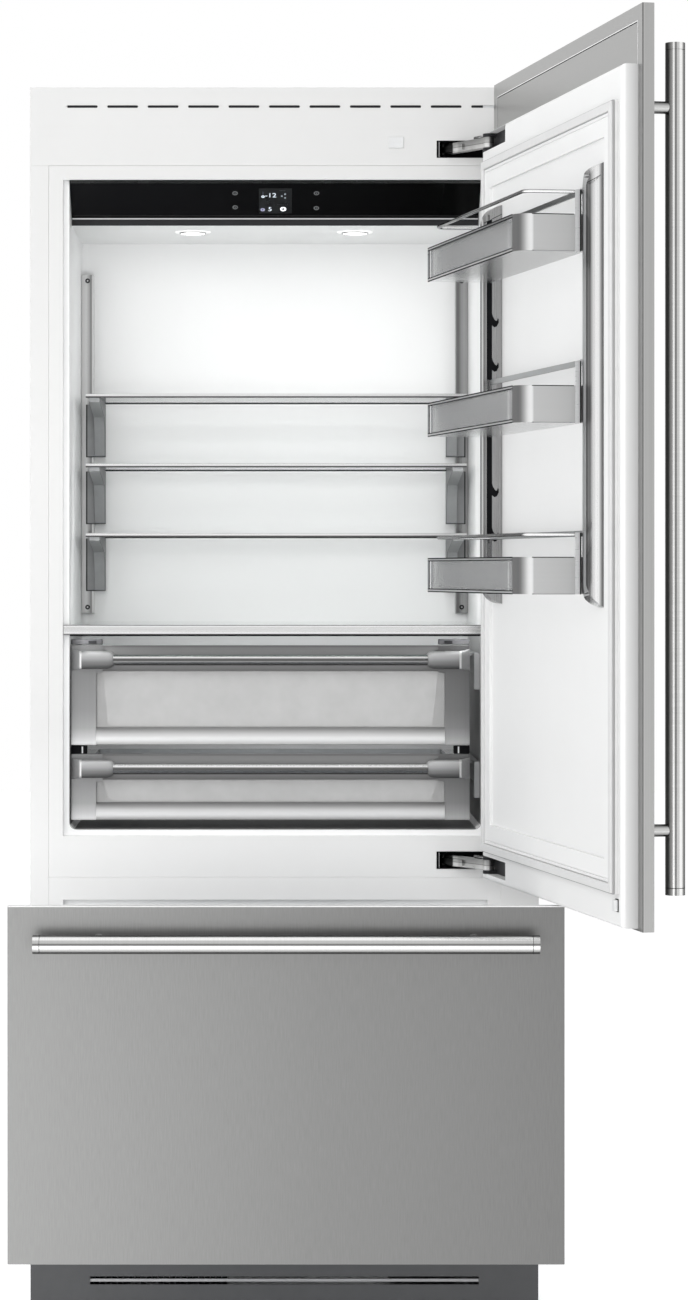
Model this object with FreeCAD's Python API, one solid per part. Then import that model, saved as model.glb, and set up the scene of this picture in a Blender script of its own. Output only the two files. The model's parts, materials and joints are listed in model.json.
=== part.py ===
import FreeCAD, Part
import math
import os

V = FreeCAD.Vector

# Frame: origin on the floor under the middle of the cabinet, at the cabinet's front face.
# +X to the right seen from the front, +Y into the cabinet, +Z up. All lengths in millimetres.

# Cabinet
body_w = 889.0
total_h = 2125.0
cab_d = 555.0
channel_d = 25.0
skin_t = 3.0
liner_t = 3.0
plate_t = 4.0
carcass_z = 170.0
fix_hole_r = 2.75
fix_hole_x = 300.0
fix_hole_y0 = 60.0
fix_hole_rear_in = 75.0
cut_over = 5.0
fit_gap = 0.5
run_gap = 0.3

# Refrigerator compartment
cav_left = 376.0
cav_right = 344.0
cav_back_y = 420.0
fridge_floor_z = 828.0
fridge_ceil_drop = 234.0
fridge_rim_drop = 161.5
notch_d = 78.0
rim_w = 10.5
rim_d = 12.0
cav_corner_r = 14.0

# Freezer compartment
freezer_floor_z = 215.0
freezer_ceil_z = 695.0
flange_split_z = 745.0

# Front bands and trims
vent_strip_h = 69.6
header_drop = 136.5
trim_left_w = 32.5
trim_right_w = 66.5
slot_count = 11
slot_w = 54.0
slot_h = 4.6
slot_pitch = 70.65
slot_drop = 33.4
sensor_w = 26.0
sensor_h = 19.0
sensor_x = 195.0
sensor_drop = 96.5
sensor_t = 1.5

# Control panel and ceiling lights
glass_t = 3.0
panel_drop = 58.0
panel_depth = 75.0
display_x = -13.0
board_t = 4.0
board_w = 260.0
light_r = 22.0
light_t = 3.0
light_y = 190.0
light_left_x = -164.0
light_right_x = 128.0

# Articulated hinges: fixed pin in the cabinet, moving pin in the door
fixed_pin_x = 280.0
fixed_pin_y = 15.0
door_pin_in = 43.3
door_pin_n = 20.4
arm_turn = 41.6
door_turn = 141.97
pocket_left_x = 266.0
pocket_right_x = 372.0
pocket_d = 45.0
pocket_h = 30.0
pocket_top_drop = 123.0
pocket_bottom_z = 760.0
case_t = 1.5
pin_r = 4.0
pin_fit = 0.05
arm_eye_r = 9.0
arm_w = 11.0
arm_h = 18.0
link_h = 5.0
link_w = 8.0
open_pin_gap = 0.6
door_pocket_len = 160.0
door_pocket_n = 6.0
hinge_plate_t = 2.5
pin_lug_r = 10.0

# Door and drawer fronts
panel_w = 897.0
panel_t = 18.75
sheet_t = 1.5
fold_w = 24.0
door_z = 745.4
door_top_gap = 3.0
drawer_z = 164.0
front_gap = 4.0
panel_back_y = 40.0
body_inset = 20.0
body_n = 26.0
body_r = 7.0
door_body_low = 4.0
door_body_drop = 91.0
liner_raise = 10.0
liner_margin = 3.0
liner_recess = 5.0
liner_rim = 30.0
gasket_w = 16.0
gasket_t = 13.5
gasket_out_x = 416.5
gasket_hinge_x = 386.5
gasket_step = 1.5
plug_gap = 0.3

# Bar handles
bar_r = 15.0
bar_out = 49.25
bar_edge = 57.0
door_bar_low_z = 795.0
door_bar_drop = 53.5
stand_in = 97.0
stand_r = 9.5
stand_collar_r = 12.5
stand_collar_t = 4.0
bar_cap_l = 10.5
bar_ring_w = 1.2
bar_ring_d = 0.9
drawer_bar_l = 809.0
drawer_stand_in = 103.0

# Door columns, measured along the door from the hinge edge and out from the panel's back
col_low_share = 0.05603
col_over = 4.5
col_near_in = 775.0
col_far_in = 140.0
col_w = 40.0
col_out = 28.0
col_cap = 45.0
col_cap_share = 0.33
col_slot_w = 4.0
col_slot_d = 5.0

# Door bins
bin_count = 3
bin_low_share = 0.08468
bin_pitch_share = 0.367730
bin_l0 = 184.0
bin_l1 = 771.0
bin_n0 = 49.5
bin_n1 = 160.0
bin_h = 56.0
bin_back_h = 96.0
bin_wall = 3.0
band_t = 1.5
band_r = 28.0
band_front_l = 26.0
profile_w = 10.0
rail_h = 9.0
rail_t = 3.0
strip_h = 4.0
wire_r = 2.8
wire_bend_r = 14.0
wire_drop = 6.0
hook_t = 3.4
hook_h = 16.0
hook_reach = 7.5
seat_gap = 0.3
lift_room = 18.0

# Shelf rails and shelves
rail_w = 23.0
rail_d = 24.0
rail_low_gap = 16.0
rail_high_gap = 60.0
rail_wall = 2.0
rail_slot_w = 3.6
tab_room = 14.0
rail_slot_in = 15.0
screw_r = 4.0
screw_head_t = 2.0
screw_end = 11.0
shelf_count = 3
shelf_low_share = 0.21972
shelf_pitch_share = 0.176454
shelf_half_w = 340.0
shelf_mid_x = -14.0
shelf_front_y = 132.0
shelf_back_y = 389.0
shelf_trim_h = 7.0
shelf_trim_d = 12.0
shelf_glass_t = 4.0
gusset_out = 336.0
gusset_w = 20.0
gusset_gap = 26.4
gusset_nose = 6.0
gusset_knee_z = 26.0
gusset_heel_d = 24.0
gusset_start = 40.0
hook_plate_t = 3.0
hook_plate_w = 17.0
tab_t = 3.0
tab_h = 12.0
tab_d = 7.0

# Crisper cover and crisper drawers
cover_trim_z = 1169.0
cover_trim_h = 17.0
cover_trim_d = 13.5
cover_glass_t = 5.0
cover_back_gap = 4.0
cover_peg_r = 4.5
cover_peg_l = 14.0
cover_peg_in = 41.0
cover_peg_rear_in = 28.0
crisper_left_x = 374.5
crisper_right_x = 325.8
crisper_front_y = 34.0
crisper_frame_t = 9.0
upper_z = 974.6
upper_h = 175.1
lower_z = 842.9
lower_h = 116.1
end_w = 44.0
top_rail_h = 45.0
bottom_rail_h = 31.0
bulge_share = 0.33
bulge = 9.0
tube_r = 9.2
tube_y = 12.0
tube_drop = 25.4
sleeve_l = 72.0
sleeve_w = 31.0
sleeve_in = 6.0
sleeve_nose = 10.0
window_t = 3.0
tub_wall = 2.5
tub_side = 30.0
tub_draft = 9.0
tub_r = 24.0
tub_back_y = 388.0
tub_low = 9.0
tub_top_drop = 9.0
tub_lip = 5.0
runner_w = 10.0
runner_drop = 50.0
runner_gap = 0.5
runner_seat = 9.8
runner_flange_t = 6.0
runner_set_back = 60.0
runner_foot_h = 28.0
guide_t = 5.0
rail_stop_l = 26.0
crisper_rail_l = 340.0

# Freezer drawer
drawer_out = 417.95
freezer_body_top_z = 728.0
basket_low_z = 238.0
basket_h = 322.0
basket_y0 = 6.0
basket_y1 = 326.0
basket_side = 34.0
basket_wall = 3.0
basket_r = 26.0
basket_bracket_t = 3.0
tray_h = 62.0
tray_y0 = 96.0
tray_y1 = 322.0
tray_wall = 2.5
tray_lift = 0.3
slide_z = 500.0
slide_h = 45.0
slide_fixed_t = 10.0
slide_mid_t = 8.0
slide_move_t = 7.0
slide_gap = 0.4
slide_l = 330.0
slide_y0 = 4.0
duct_y = 345.0
duct_t = 3.0
duct_side = 6.0
duct_slot_h = 6.0
duct_slot_w = 300.0
duct_slot_z = 300.0
duct_slot_pitch = 16.0
duct_slot_count = 5
evap_y0 = 352.0
evap_d = 48.0
evap_w = 520.0
evap_low_z = 300.0
evap_h = 210.0
fin_t = 1.2
evap_fin_count = 20
evap_rows = 4
evap_tube_r = 4.5
evap_foot_h = 12.0
evap_fan_z = 610.0
evap_fan_r = 52.0
fan_hub_share = 0.32
fan_hole_gap = 4.0
fan_d = 20.0
fan_blades = 6
fan_blade_t = 2.4
fan_pitch = 32.0
shaft_r = 3.0
shaft_fit = 0.05
motor_r = 20.0

# Base, plinth and machine space
pan_z = 12.0
pan_t = 2.0
pan_lip = 14.0
foot_r = 18.0
foot_h = 6.0
foot_stem_r = 5.0
foot_in_x = 45.0
foot_in_y = 50.0
side_rail_t = 3.0
side_rail_flange = 22.0
plinth_y = 12.0
plinth_t = 2.0
plinth_low_z = 2.0
plinth_high_z = 158.0
plinth_fold = 16.0
plinth_slot_half = 340.0
plinth_slot_z = 31.6
plinth_slot_h = 14.0
plinth_bar_h = 5.0
plinth_bar_d = 8.0
comp_x = 255.0
comp_rear_in = 165.0
comp_r = 66.0
comp_h = 126.0
comp_dome = 34.0
comp_foot_w = 150.0
comp_foot_d = 96.0
comp_foot_t = 3.0
grommet_r = 9.0
grommet_h = 9.0
cond_x0 = -400.0
cond_w = 300.0
cond_y0 = 96.0
cond_d = 44.0
cond_h = 128.0
cond_fin_count = 30
cond_rows = 5
cond_tube_r = 3.5
fan_r = 56.0
fan_x = -250.0
fan_shroud_y = 141.0
shroud_t = 3.0
shroud_d = 34.0
dish_w = 210.0
dish_d = 120.0
dish_h = 26.0
dish_wall = 2.5
dish_x = -60.0
dish_rear_in = 225.0
pipe_r = 4.0
inlet_w = 48.0
inlet_h = 32.0
inlet_d = 18.0
inlet_x = -360.0
inlet_z = 120.0
inlet_hole_w = 27.0
inlet_hole_h = 19.0
rear_cover_t = 1.5
rear_low_z = 14.0
louvre_count = 18
louvre_w = 5.0
louvre_h = 90.0
louvre_pitch = 22.0

# Working lengths that follow from the sizes above
vent_z = total_h - vent_strip_h
header_z = total_h - header_drop
fridge_ceil_z = total_h - fridge_ceil_drop
fridge_rim_top_z = total_h - fridge_rim_drop
sensor_z = total_h - sensor_drop
pocket_top_z = total_h - pocket_top_drop
door_body_top_z = total_h - door_body_drop
door_bar_high_z = total_h - door_bar_drop
cover_top_z = cover_trim_z + cover_trim_h
open_h = fridge_ceil_z - cover_top_z
col_h_low_z = cover_top_z + open_h * col_low_share
col_h_high_z = fridge_ceil_z + col_over
bin_low_z = cover_top_z + open_h * bin_low_share
bin_pitch = open_h * bin_pitch_share
rail_low_z = cover_top_z + rail_low_gap
rail_high_z = fridge_ceil_z - rail_high_gap
shelf_low_z = cover_top_z + open_h * shelf_low_share
shelf_pitch = open_h * shelf_pitch_share
gusset_h = shelf_pitch - gusset_gap
fix_hole_pitch_y = cab_d - fix_hole_y0 - fix_hole_rear_in
comp_y = cab_d - comp_rear_in
dish_y = cab_d - dish_rear_in
half_w = body_w / 2
half_panel = panel_w / 2
cav_mid = (cav_right - cav_left) / 2
wall_left_x = -cav_left - liner_t
wall_right_x = cav_right + liner_t
wall_back_y = cav_back_y + liner_t
trim_left_x = -half_w + trim_left_w
trim_right_x = half_w - trim_right_w
rim_left_x = -cav_left - rim_w
rim_right_x = cav_right + rim_w
door_top_z = total_h - door_top_gap
drawer_top_z = door_z - front_gap
bin_hook_n = bin_n0 + profile_w / 2


def box(x0, x1, y0, y1, z0, z1):
    return Part.makeBox(x1 - x0, y1 - y0, z1 - z0, V(x0, y0, z0))


def cyl(r, h, at, along):
    return Part.makeCylinder(r, h, at, along)


def up():
    return V(0, 0, 1)


def fuse(shapes):
    first = shapes[0]
    for other in shapes[1:]:
        first = first.fuse(other)
    return first.removeSplitter()


def compound(shapes):
    return Part.makeCompound(shapes)


def face_of(points):
    return Part.Face(Part.makePolygon(points + [points[0]]))


def prism(points, travel):
    return face_of(points).extrude(travel)


def upright_edges(shape, z0, z1):
    found = []
    for edge in shape.Edges:
        low = edge.BoundBox.ZMin
        high = edge.BoundBox.ZMax
        straight = edge.BoundBox.XLength + edge.BoundBox.YLength < fit_gap
        if straight and low < z0 + fit_gap and high > z1 - fit_gap:
            found.append(edge)
    return found


def rounded_wire(x0, x1, y0, y1, z, r):
    quarter = r - r / math.sqrt(2)
    corners = [
        (V(x0 + r, y0, z), V(x1 - r, y0, z), V(x1 - quarter, y0 + quarter, z), V(x1, y0 + r, z)),
        (V(x1, y0 + r, z), V(x1, y1 - r, z), V(x1 - quarter, y1 - quarter, z), V(x1 - r, y1, z)),
        (V(x1 - r, y1, z), V(x0 + r, y1, z), V(x0 + quarter, y1 - quarter, z), V(x0, y1 - r, z)),
        (V(x0, y1 - r, z), V(x0, y0 + r, z), V(x0 + quarter, y0 + quarter, z), V(x0 + r, y0, z)),
    ]
    edges = []
    for start, end, middle, after in corners:
        edges.append(Part.LineSegment(start, end).toShape())
        edges.append(Part.Arc(end, middle, after).toShape())
    return Part.Wire(edges)


def tapered(x0, x1, y0, y1, z0, z1, draft, r):
    low = rounded_wire(x0 + draft, x1 - draft, y0 + draft, y1 - draft, z0, r)
    high = rounded_wire(x0, x1, y0, y1, z1, r)
    return Part.makeLoft([low, high], True, True)


def tub(x0, x1, y0, y1, z0, z1, wall, draft, r):
    outer = tapered(x0, x1, y0, y1, z0, z1, draft, r)
    inner = tapered(x0 + wall, x1 - wall, y0 + wall, y1 - wall, z0 + wall, z1 + wall, draft, r - wall)
    return outer.cut(inner)


def save(name, shape):
    shape.exportStep("parts/" + name + ".step")


def turned(shape, centre, angle):
    moved = shape.copy()
    moved.rotate(centre, up(), angle)
    return moved


def shifted(shape, move):
    moved = shape.copy()
    moved.translate(move)
    return moved


# Placing the door: modelled closed, then carried by the hinge arms to the open pose
fixed_pin = V(fixed_pin_x, fixed_pin_y, 0)
door_pin_closed = V(half_panel - door_pin_in, door_pin_n - panel_back_y, 0)


def swung(point):
    turn = math.radians(-arm_turn)
    dx = point.x - fixed_pin.x
    dy = point.y - fixed_pin.y
    x = fixed_pin.x + dx * math.cos(turn) - dy * math.sin(turn)
    y = fixed_pin.y + dx * math.sin(turn) + dy * math.cos(turn)
    return V(x, y, point.z)


door_pin_open = swung(door_pin_closed)


def opened(shape):
    moved = turned(shape, door_pin_closed, door_turn - arm_turn)
    moved.translate(door_pin_open.sub(door_pin_closed))
    return moved


def pulled(shape):
    return shifted(shape, V(0, -drawer_out, 0))


def along(l):
    return half_panel - l


def out(n):
    return n - panel_back_y


# Cabinet walls
def rim_cut(shape):
    left = rim_left_x - liner_t
    right = rim_right_x + liner_t
    deep = rim_d + liner_t
    low = fridge_floor_z - rim_w - liner_t
    high = fridge_rim_top_z + liner_t
    shape = shape.cut(box(left, right, 0, deep, low, high))
    low = freezer_floor_z - rim_w - liner_t
    high = freezer_ceil_z + rim_w + liner_t
    return shape.cut(box(left, right, 0, deep, low, high))


def pocket_cut(shape):
    for z in (pocket_top_z, pocket_bottom_z):
        hole = box(pocket_left_x, pocket_right_x, -cut_over, pocket_d, z, z + pocket_h)
        shape = shape.cut(hole)
    return shape


def cabinet_walls():
    top = total_h - plate_t
    left = box(-half_w, wall_left_x, skin_t, cab_d, carcass_z, top)
    save("cabinet_side_left", rim_cut(left))
    right = box(wall_right_x, half_w, skin_t, cab_d, carcass_z, top)
    save("cabinet_side_right", pocket_cut(rim_cut(right)))
    back_y = cab_d - channel_d
    back = box(wall_left_x, wall_right_x, wall_back_y, back_y, carcass_z, vent_z)
    save("cabinet_back", back)
    ceiling = box(wall_left_x, wall_right_x, skin_t, wall_back_y, fridge_ceil_z + liner_t, vent_z)
    notch_top = fridge_rim_top_z + liner_t
    notch = box(wall_left_x, wall_right_x, 0, notch_d + liner_t, fridge_ceil_z, notch_top)
    save("cabinet_ceiling", pocket_cut(ceiling.cut(notch)))
    low = freezer_ceil_z + liner_t
    high = fridge_floor_z - liner_t
    divider = box(wall_left_x, wall_right_x, skin_t, wall_back_y, low, high)
    save("cabinet_divider", pocket_cut(rim_cut(divider)))
    floor = box(wall_left_x, wall_right_x, skin_t, wall_back_y, carcass_z, freezer_floor_z - liner_t)
    save("cabinet_floor", rim_cut(floor))
    plate = box(-half_w, half_w, skin_t, cab_d, top, total_h)
    for x in (-fix_hole_x, fix_hole_x):
        for y in (fix_hole_y0, fix_hole_y0 + fix_hole_pitch_y):
            plate = plate.cut(cyl(fix_hole_r, plate_t, V(x, y, top), up()))
    save("cabinet_top_plate", plate)


# White front of the cabinet
def front_pieces():
    strip = box(-half_w, half_w, 0, skin_t, vent_z, total_h)
    z = total_h - slot_drop - slot_h / 2
    for i in range(slot_count):
        x = (i - (slot_count - 1) / 2) * slot_pitch
        slot = box(x - slot_w / 2, x + slot_w / 2, -cut_over, cut_over, z, z + slot_h)
        strip = strip.cut(slot)
    save("front_vent_strip", strip)
    header = pocket_cut(box(-half_w, half_w, 0, skin_t, header_z, vent_z))
    cover = box(
        sensor_x - sensor_w / 2,
        sensor_x + sensor_w / 2,
        -sensor_t,
        0,
        sensor_z - sensor_h / 2,
        sensor_z + sensor_h / 2,
    )
    save("front_header", fuse([header, cover]))
    left = box(-half_w, trim_left_x, 0, skin_t, carcass_z, header_z)
    right = box(trim_right_x, half_w, 0, skin_t, carcass_z, header_z)
    save("front_trims", compound([left, right]))


def back_upright(shape, y):
    found = []
    for edge in shape.Edges:
        b = edge.BoundBox
        if b.XLength + b.YLength < fit_gap and b.YMin > y - fit_gap:
            found.append(edge)
    return found


def lengthwise(shape, z):
    found = []
    for edge in shape.Edges:
        b = edge.BoundBox
        if b.XLength + b.ZLength < fit_gap and abs(b.ZMin - z) < fit_gap:
            found.append(edge)
    return found


def cavity(z0, z1):
    shape = box(-cav_left, cav_right, 0, cav_back_y, z0, z1)
    shape = shape.makeFillet(cav_corner_r, back_upright(shape, cav_back_y))
    return shape.makeFillet(cav_corner_r, lengthwise(shape, z0))


def liners():
    rim_shell = (rim_left_x - liner_t, rim_right_x + liner_t, 0, rim_d + liner_t)
    rim_hole = (rim_left_x, rim_right_x, -cut_over, rim_d)
    low = fridge_floor_z - rim_w
    flange = box(trim_left_x, trim_right_x, 0, skin_t, flange_split_z, header_z)
    shell = box(wall_left_x, wall_right_x, 0, wall_back_y, fridge_floor_z - liner_t, fridge_ceil_z + liner_t)
    rim = box(*rim_shell, low - liner_t, fridge_rim_top_z + liner_t)
    notch_shell = box(
        wall_left_x, wall_right_x, 0, notch_d + liner_t, fridge_floor_z, fridge_rim_top_z + liner_t
    )
    shape = fuse([flange, shell, rim, notch_shell])
    shape = shape.cut(box(*rim_hole, low, fridge_rim_top_z))
    shape = shape.cut(cavity(fridge_floor_z, fridge_ceil_z))
    shape = shape.cut(box(-cav_left, cav_right, -cut_over, notch_d, fridge_ceil_z - liner_t, fridge_rim_top_z))
    save("fridge_liner", pocket_cut(shape))
    low = freezer_floor_z - rim_w
    high = freezer_ceil_z + rim_w
    flange = box(trim_left_x, trim_right_x, 0, skin_t, carcass_z, flange_split_z)
    shell = box(
        wall_left_x, wall_right_x, 0, wall_back_y, freezer_floor_z - liner_t, freezer_ceil_z + liner_t
    )
    rim = box(*rim_shell, low - liner_t, high + liner_t)
    shape = fuse([flange, shell, rim])
    shape = shape.cut(box(*rim_hole, low, high))
    shape = shape.cut(cavity(freezer_floor_z, freezer_ceil_z))
    save("freezer_liner", shape)


# Control panel, its housing with the board behind it, and the ceiling lights
def control_parts():
    x0 = -cav_left + fit_gap
    x1 = cav_right - fit_gap
    top_z = fridge_rim_top_z - fit_gap
    low_z = top_z - panel_drop
    back_y = notch_d - fit_gap
    slope = math.hypot(panel_depth, panel_drop)
    back = V(0, panel_drop * glass_t / slope, panel_depth * glass_t / slope)
    front_top = V(x0, 0, top_z)
    front_low = V(x0, panel_depth, low_z)
    edge = [front_top, front_low, front_low.add(back), front_top.add(back)]
    glass = prism(edge, V(x1 - x0, 0, 0))
    glass = glass.cut(box(x0 - cut_over, x1 + cut_over, 0, cab_d, top_z, total_h))
    save("control_panel", glass)
    shape = prism(
        [
            front_top.add(back),
            front_low.add(back),
            V(x0, panel_depth, low_z),
            V(x0, panel_depth, fridge_ceil_z),
            V(x0, back_y, fridge_ceil_z),
            V(x0, back_y, top_z),
        ],
        V(x1 - x0, 0, 0),
    )
    shape = shape.cut(box(x0 - cut_over, x1 + cut_over, 0, cab_d, top_z, total_h))
    z0 = (top_z + low_z) / 2 + board_t
    room = box(
        display_x - board_w / 2 - fit_gap,
        display_x + board_w / 2 + fit_gap,
        panel_depth - 2 * board_t,
        panel_depth - board_t,
        z0,
        top_z - board_t,
    )
    shape = shape.cut(room)
    board = box(
        display_x - board_w / 2,
        display_x + board_w / 2,
        panel_depth - 2 * board_t + fit_gap,
        panel_depth - board_t,
        z0,
        top_z - board_t - fit_gap,
    )
    save("control_housing", compound([shape, board]))
    lights = []
    for x in (light_left_x, light_right_x):
        lights.append(cyl(light_r, light_t, V(x, light_y, fridge_ceil_z), V(0, 0, -1)))
    save("ceiling_lights", compound(lights))


# Articulated hinges
def hinge_case(z):
    x0 = pocket_left_x
    x1 = pocket_right_x
    cup = box(x0, x1, 0, pocket_d, z, z + pocket_h)
    room = box(x0 + case_t, x1 - case_t, -cut_over, pocket_d - case_t, z + case_t, z + pocket_h - case_t)
    pin = cyl(pin_r, pocket_h - 2 * case_t, V(fixed_pin.x, fixed_pin.y, z + case_t), up())
    return fuse([cup.cut(room), pin])


def hinge_arm(z, eye_fit):
    low = z + (pocket_h - arm_h) / 2
    length = door_pin_closed.sub(fixed_pin).Length
    start = V(fixed_pin.x, fixed_pin.y, low)
    end = V(fixed_pin.x + length, fixed_pin.y, low)
    bar = box(start.x, end.x, start.y - arm_w / 2, start.y + arm_w / 2, low, low + arm_h)
    rib_low = low + arm_h - link_h
    mid = (start.x + end.x) / 2
    rib = box(start.x, mid, start.y - arm_eye_r, start.y + link_w, rib_low - 2 * link_h, rib_low)
    eyes = [cyl(arm_eye_r, arm_h, start, up()), cyl(arm_eye_r, arm_h, end, up())]
    shape = fuse([bar, rib] + eyes)
    shape = shape.cut(cyl(pin_r + pin_fit, arm_h, start, up()))
    shape = shape.cut(cyl(pin_r + eye_fit, arm_h, end, up()))
    closed = math.degrees(
        math.atan2(door_pin_closed.y - fixed_pin.y, door_pin_closed.x - fixed_pin.x)
    )
    return turned(shape, fixed_pin, closed - arm_turn)


def hinge_plate(z):
    x1 = along(body_inset)
    x0 = x1 - door_pocket_len
    y0 = out(door_pocket_n)
    low = z + (pocket_h - arm_h) / 2 - run_gap
    high = z + (pocket_h + arm_h) / 2 + run_gap
    plate = box(x0, x1, y0, y0 + hinge_plate_t, z, z + pocket_h)
    pin = cyl(pin_r, pocket_h, V(door_pin_closed.x, door_pin_closed.y, z), up())
    lugs = []
    for base, tall in ((z, low - z), (high, z + pocket_h - high)):
        at = V(door_pin_closed.x, door_pin_closed.y, base)
        lugs.append(cyl(pin_lug_r, tall, at, up()))
        web = box(at.x - pin_lug_r, at.x + pin_lug_r, y0, at.y, base, base + tall)
        lugs.append(web)
    return fuse([plate, pin] + lugs)


def hinges():
    save("hinge_cases", compound([hinge_case(pocket_top_z), hinge_case(pocket_bottom_z)]))
    save("hinge_arm_top", hinge_arm(pocket_top_z, pin_fit))
    save("hinge_arm_bottom", hinge_arm(pocket_bottom_z, open_pin_gap))
    plates = compound([hinge_plate(pocket_top_z), hinge_plate(pocket_bottom_z)])
    save("door_hinge_plates", opened(plates))


# Folded steel fronts, insulated bodies and gaskets
def folded_panel(z0, z1):
    y1 = out(0)
    y0 = y1 - panel_t
    shape = box(-half_panel, half_panel, y0, y1, z0, z1)
    t = sheet_t
    room = box(-half_panel + t, half_panel - t, y0 + t, y1 - t, z0 + t, z1 - t)
    w = fold_w
    mouth = box(-half_panel + w, half_panel - w, y1 - 2 * t, y1 + cut_over, z0 + w, z1 - w)
    return shape.cut(room).cut(mouth)


def insulated_body(panel_z0, panel_z1, z0, z1):
    x0 = -half_panel + body_inset
    x1 = half_panel - body_inset
    slab = box(x0, x1, out(0), out(body_n), z0, z1)
    rim = [e for e in slab.Edges if e.BoundBox.YMin > out(body_n) - fit_gap]
    slab = slab.makeFillet(body_r, rim)
    w = fold_w + plug_gap
    t = sheet_t + plug_gap
    plug = box(
        -half_panel + w,
        half_panel - w,
        out(-panel_t) + t,
        out(0) + cut_over,
        panel_z0 + w,
        panel_z1 - w,
    )
    cover = box(
        -half_panel + w, half_panel - w, out(-panel_t) + t, out(0), panel_z0 + w, panel_z1 - w
    )
    core = plug.common(box(x0, x1, out(-panel_t), out(body_n), z0, z1))
    return fuse([slab, core, cover])


def raised_liner(x0, x1, z0, z1):
    face = out(body_n)
    shape = box(x0, x1, face, face + liner_raise, z0, z1)
    edge = [e for e in shape.Edges if e.BoundBox.YMin > face + liner_raise - fit_gap]
    shape = shape.makeFillet(liner_raise / 2, edge)
    recess = box(
        x0 + liner_rim,
        x1 - liner_rim,
        face + liner_raise - liner_recess,
        face + liner_raise + cut_over,
        z0 + liner_rim,
        z1 - liner_rim,
    )
    return shape.cut(recess)


def ring(x0, x1, y0, y1, z0, z1, w):
    outer = box(x0, x1, y0, y1, z0, z1)
    return outer.cut(box(x0 + w, x1 - w, y0 - cut_over, y1 + cut_over, z0 + w, z1 - w))


def gasket(z0, z1):
    x0 = -gasket_out_x
    x1 = gasket_hinge_x
    y = out(body_n)
    wide = ring(x0, x1, y, y + gasket_t / 2, z0, z1, gasket_w)
    s = gasket_step
    narrow = ring(x0 + s, x1 - s, y + gasket_t / 2, y + gasket_t, z0 + s, z1 - s, gasket_w - s - s)
    return fuse([wide, narrow])


def column(l0, side):
    # side 1 has its rounded flank towards the free edge, side -1 towards the hinge edge
    x_in = along(l0) if side > 0 else along(l0 + col_w)
    x_out = x_in - side * col_w
    y0 = out(body_n + liner_raise)
    y0 = y0 - liner_recess
    y1 = out(body_n + liner_raise + col_out)
    z0 = col_h_low_z
    z1 = col_h_high_z
    mid = (x_in + x_out) / 2
    r = (y1 - y0) / 2
    start = V(x_in, y0, z0)
    edges = [
        Part.LineSegment(start, V(x_in, y1, z0)).toShape(),
        Part.LineSegment(V(x_in, y1, z0), V(mid, y1, z0)).toShape(),
        Part.Arc(
            V(mid, y1, z0),
            V(x_out + side * r / 2, y1 - r / 2, z0),
            V(x_out, y0 + r / 2, z0),
        ).toShape(),
        Part.LineSegment(V(x_out, y0 + r / 2, z0), V(x_out, y0, z0)).toShape(),
        Part.LineSegment(V(x_out, y0, z0), start).toShape(),
    ]
    shape = Part.Face(Part.Wire(edges)).extrude(V(0, 0, z1 - z0))
    low_x = min(x_in, x_out) - cut_over
    span = V(col_w + 2 * cut_over, 0, 0)
    for z, sign in ((z1, 1), (z0, -1)):
        inner = z - sign * col_cap
        bend = V(low_x, y1 - r / 2, z - sign * col_cap * col_cap_share)
        arc = Part.Arc(V(low_x, y1, inner), bend, V(low_x, y0, z)).toShape()
        over = V(low_x, y1 + cut_over, z + sign * cut_over)
        loop = [
            arc,
            Part.LineSegment(V(low_x, y0, z), V(low_x, y0, over.z)).toShape(),
            Part.LineSegment(V(low_x, y0, over.z), over).toShape(),
            Part.LineSegment(over, V(low_x, over.y, inner)).toShape(),
            Part.LineSegment(V(low_x, over.y, inner), V(low_x, y1, inner)).toShape(),
        ]
        shape = shape.cut(Part.Face(Part.Wire(loop)).extrude(span))
    deep = side * col_slot_d
    slot_x = sorted((x_in - deep, x_in + side * cut_over))
    ys = out(bin_hook_n) - col_slot_w / 2
    for i in range(bin_count):
        top = bin_low_z + i * bin_pitch + bin_back_h
        low = top - hook_h - seat_gap
        shape = shape.cut(box(slot_x[0], slot_x[1], ys, ys + col_slot_w, low, top + lift_room))
    return shape


def bar_handle(start, end, outward, stand_from, stand_depth):
    run = end.sub(start)
    length = run.Length
    unit = V(run.x / length, run.y / length, run.z / length)

    def at(d):
        return start.add(V(unit.x * d, unit.y * d, unit.z * d))

    shape = cyl(bar_r, length, start, unit)
    for d in (bar_cap_l, length - bar_cap_l - bar_ring_w):
        groove = cyl(bar_r + cut_over, bar_ring_w, at(d), unit)
        groove = groove.cut(cyl(bar_r - bar_ring_d, bar_ring_w, at(d), unit))
        shape = shape.cut(groove)
    inward = V(-outward.x, -outward.y, -outward.z)
    pieces = [shape]
    for d in (stand_from, length - stand_from):
        pieces.append(cyl(stand_r, stand_depth, at(d), inward))
        foot = at(d).add(V(inward.x * stand_depth, inward.y * stand_depth, inward.z * stand_depth))
        pieces.append(cyl(stand_collar_r, stand_collar_t, foot, outward))
    return fuse(pieces)


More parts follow.
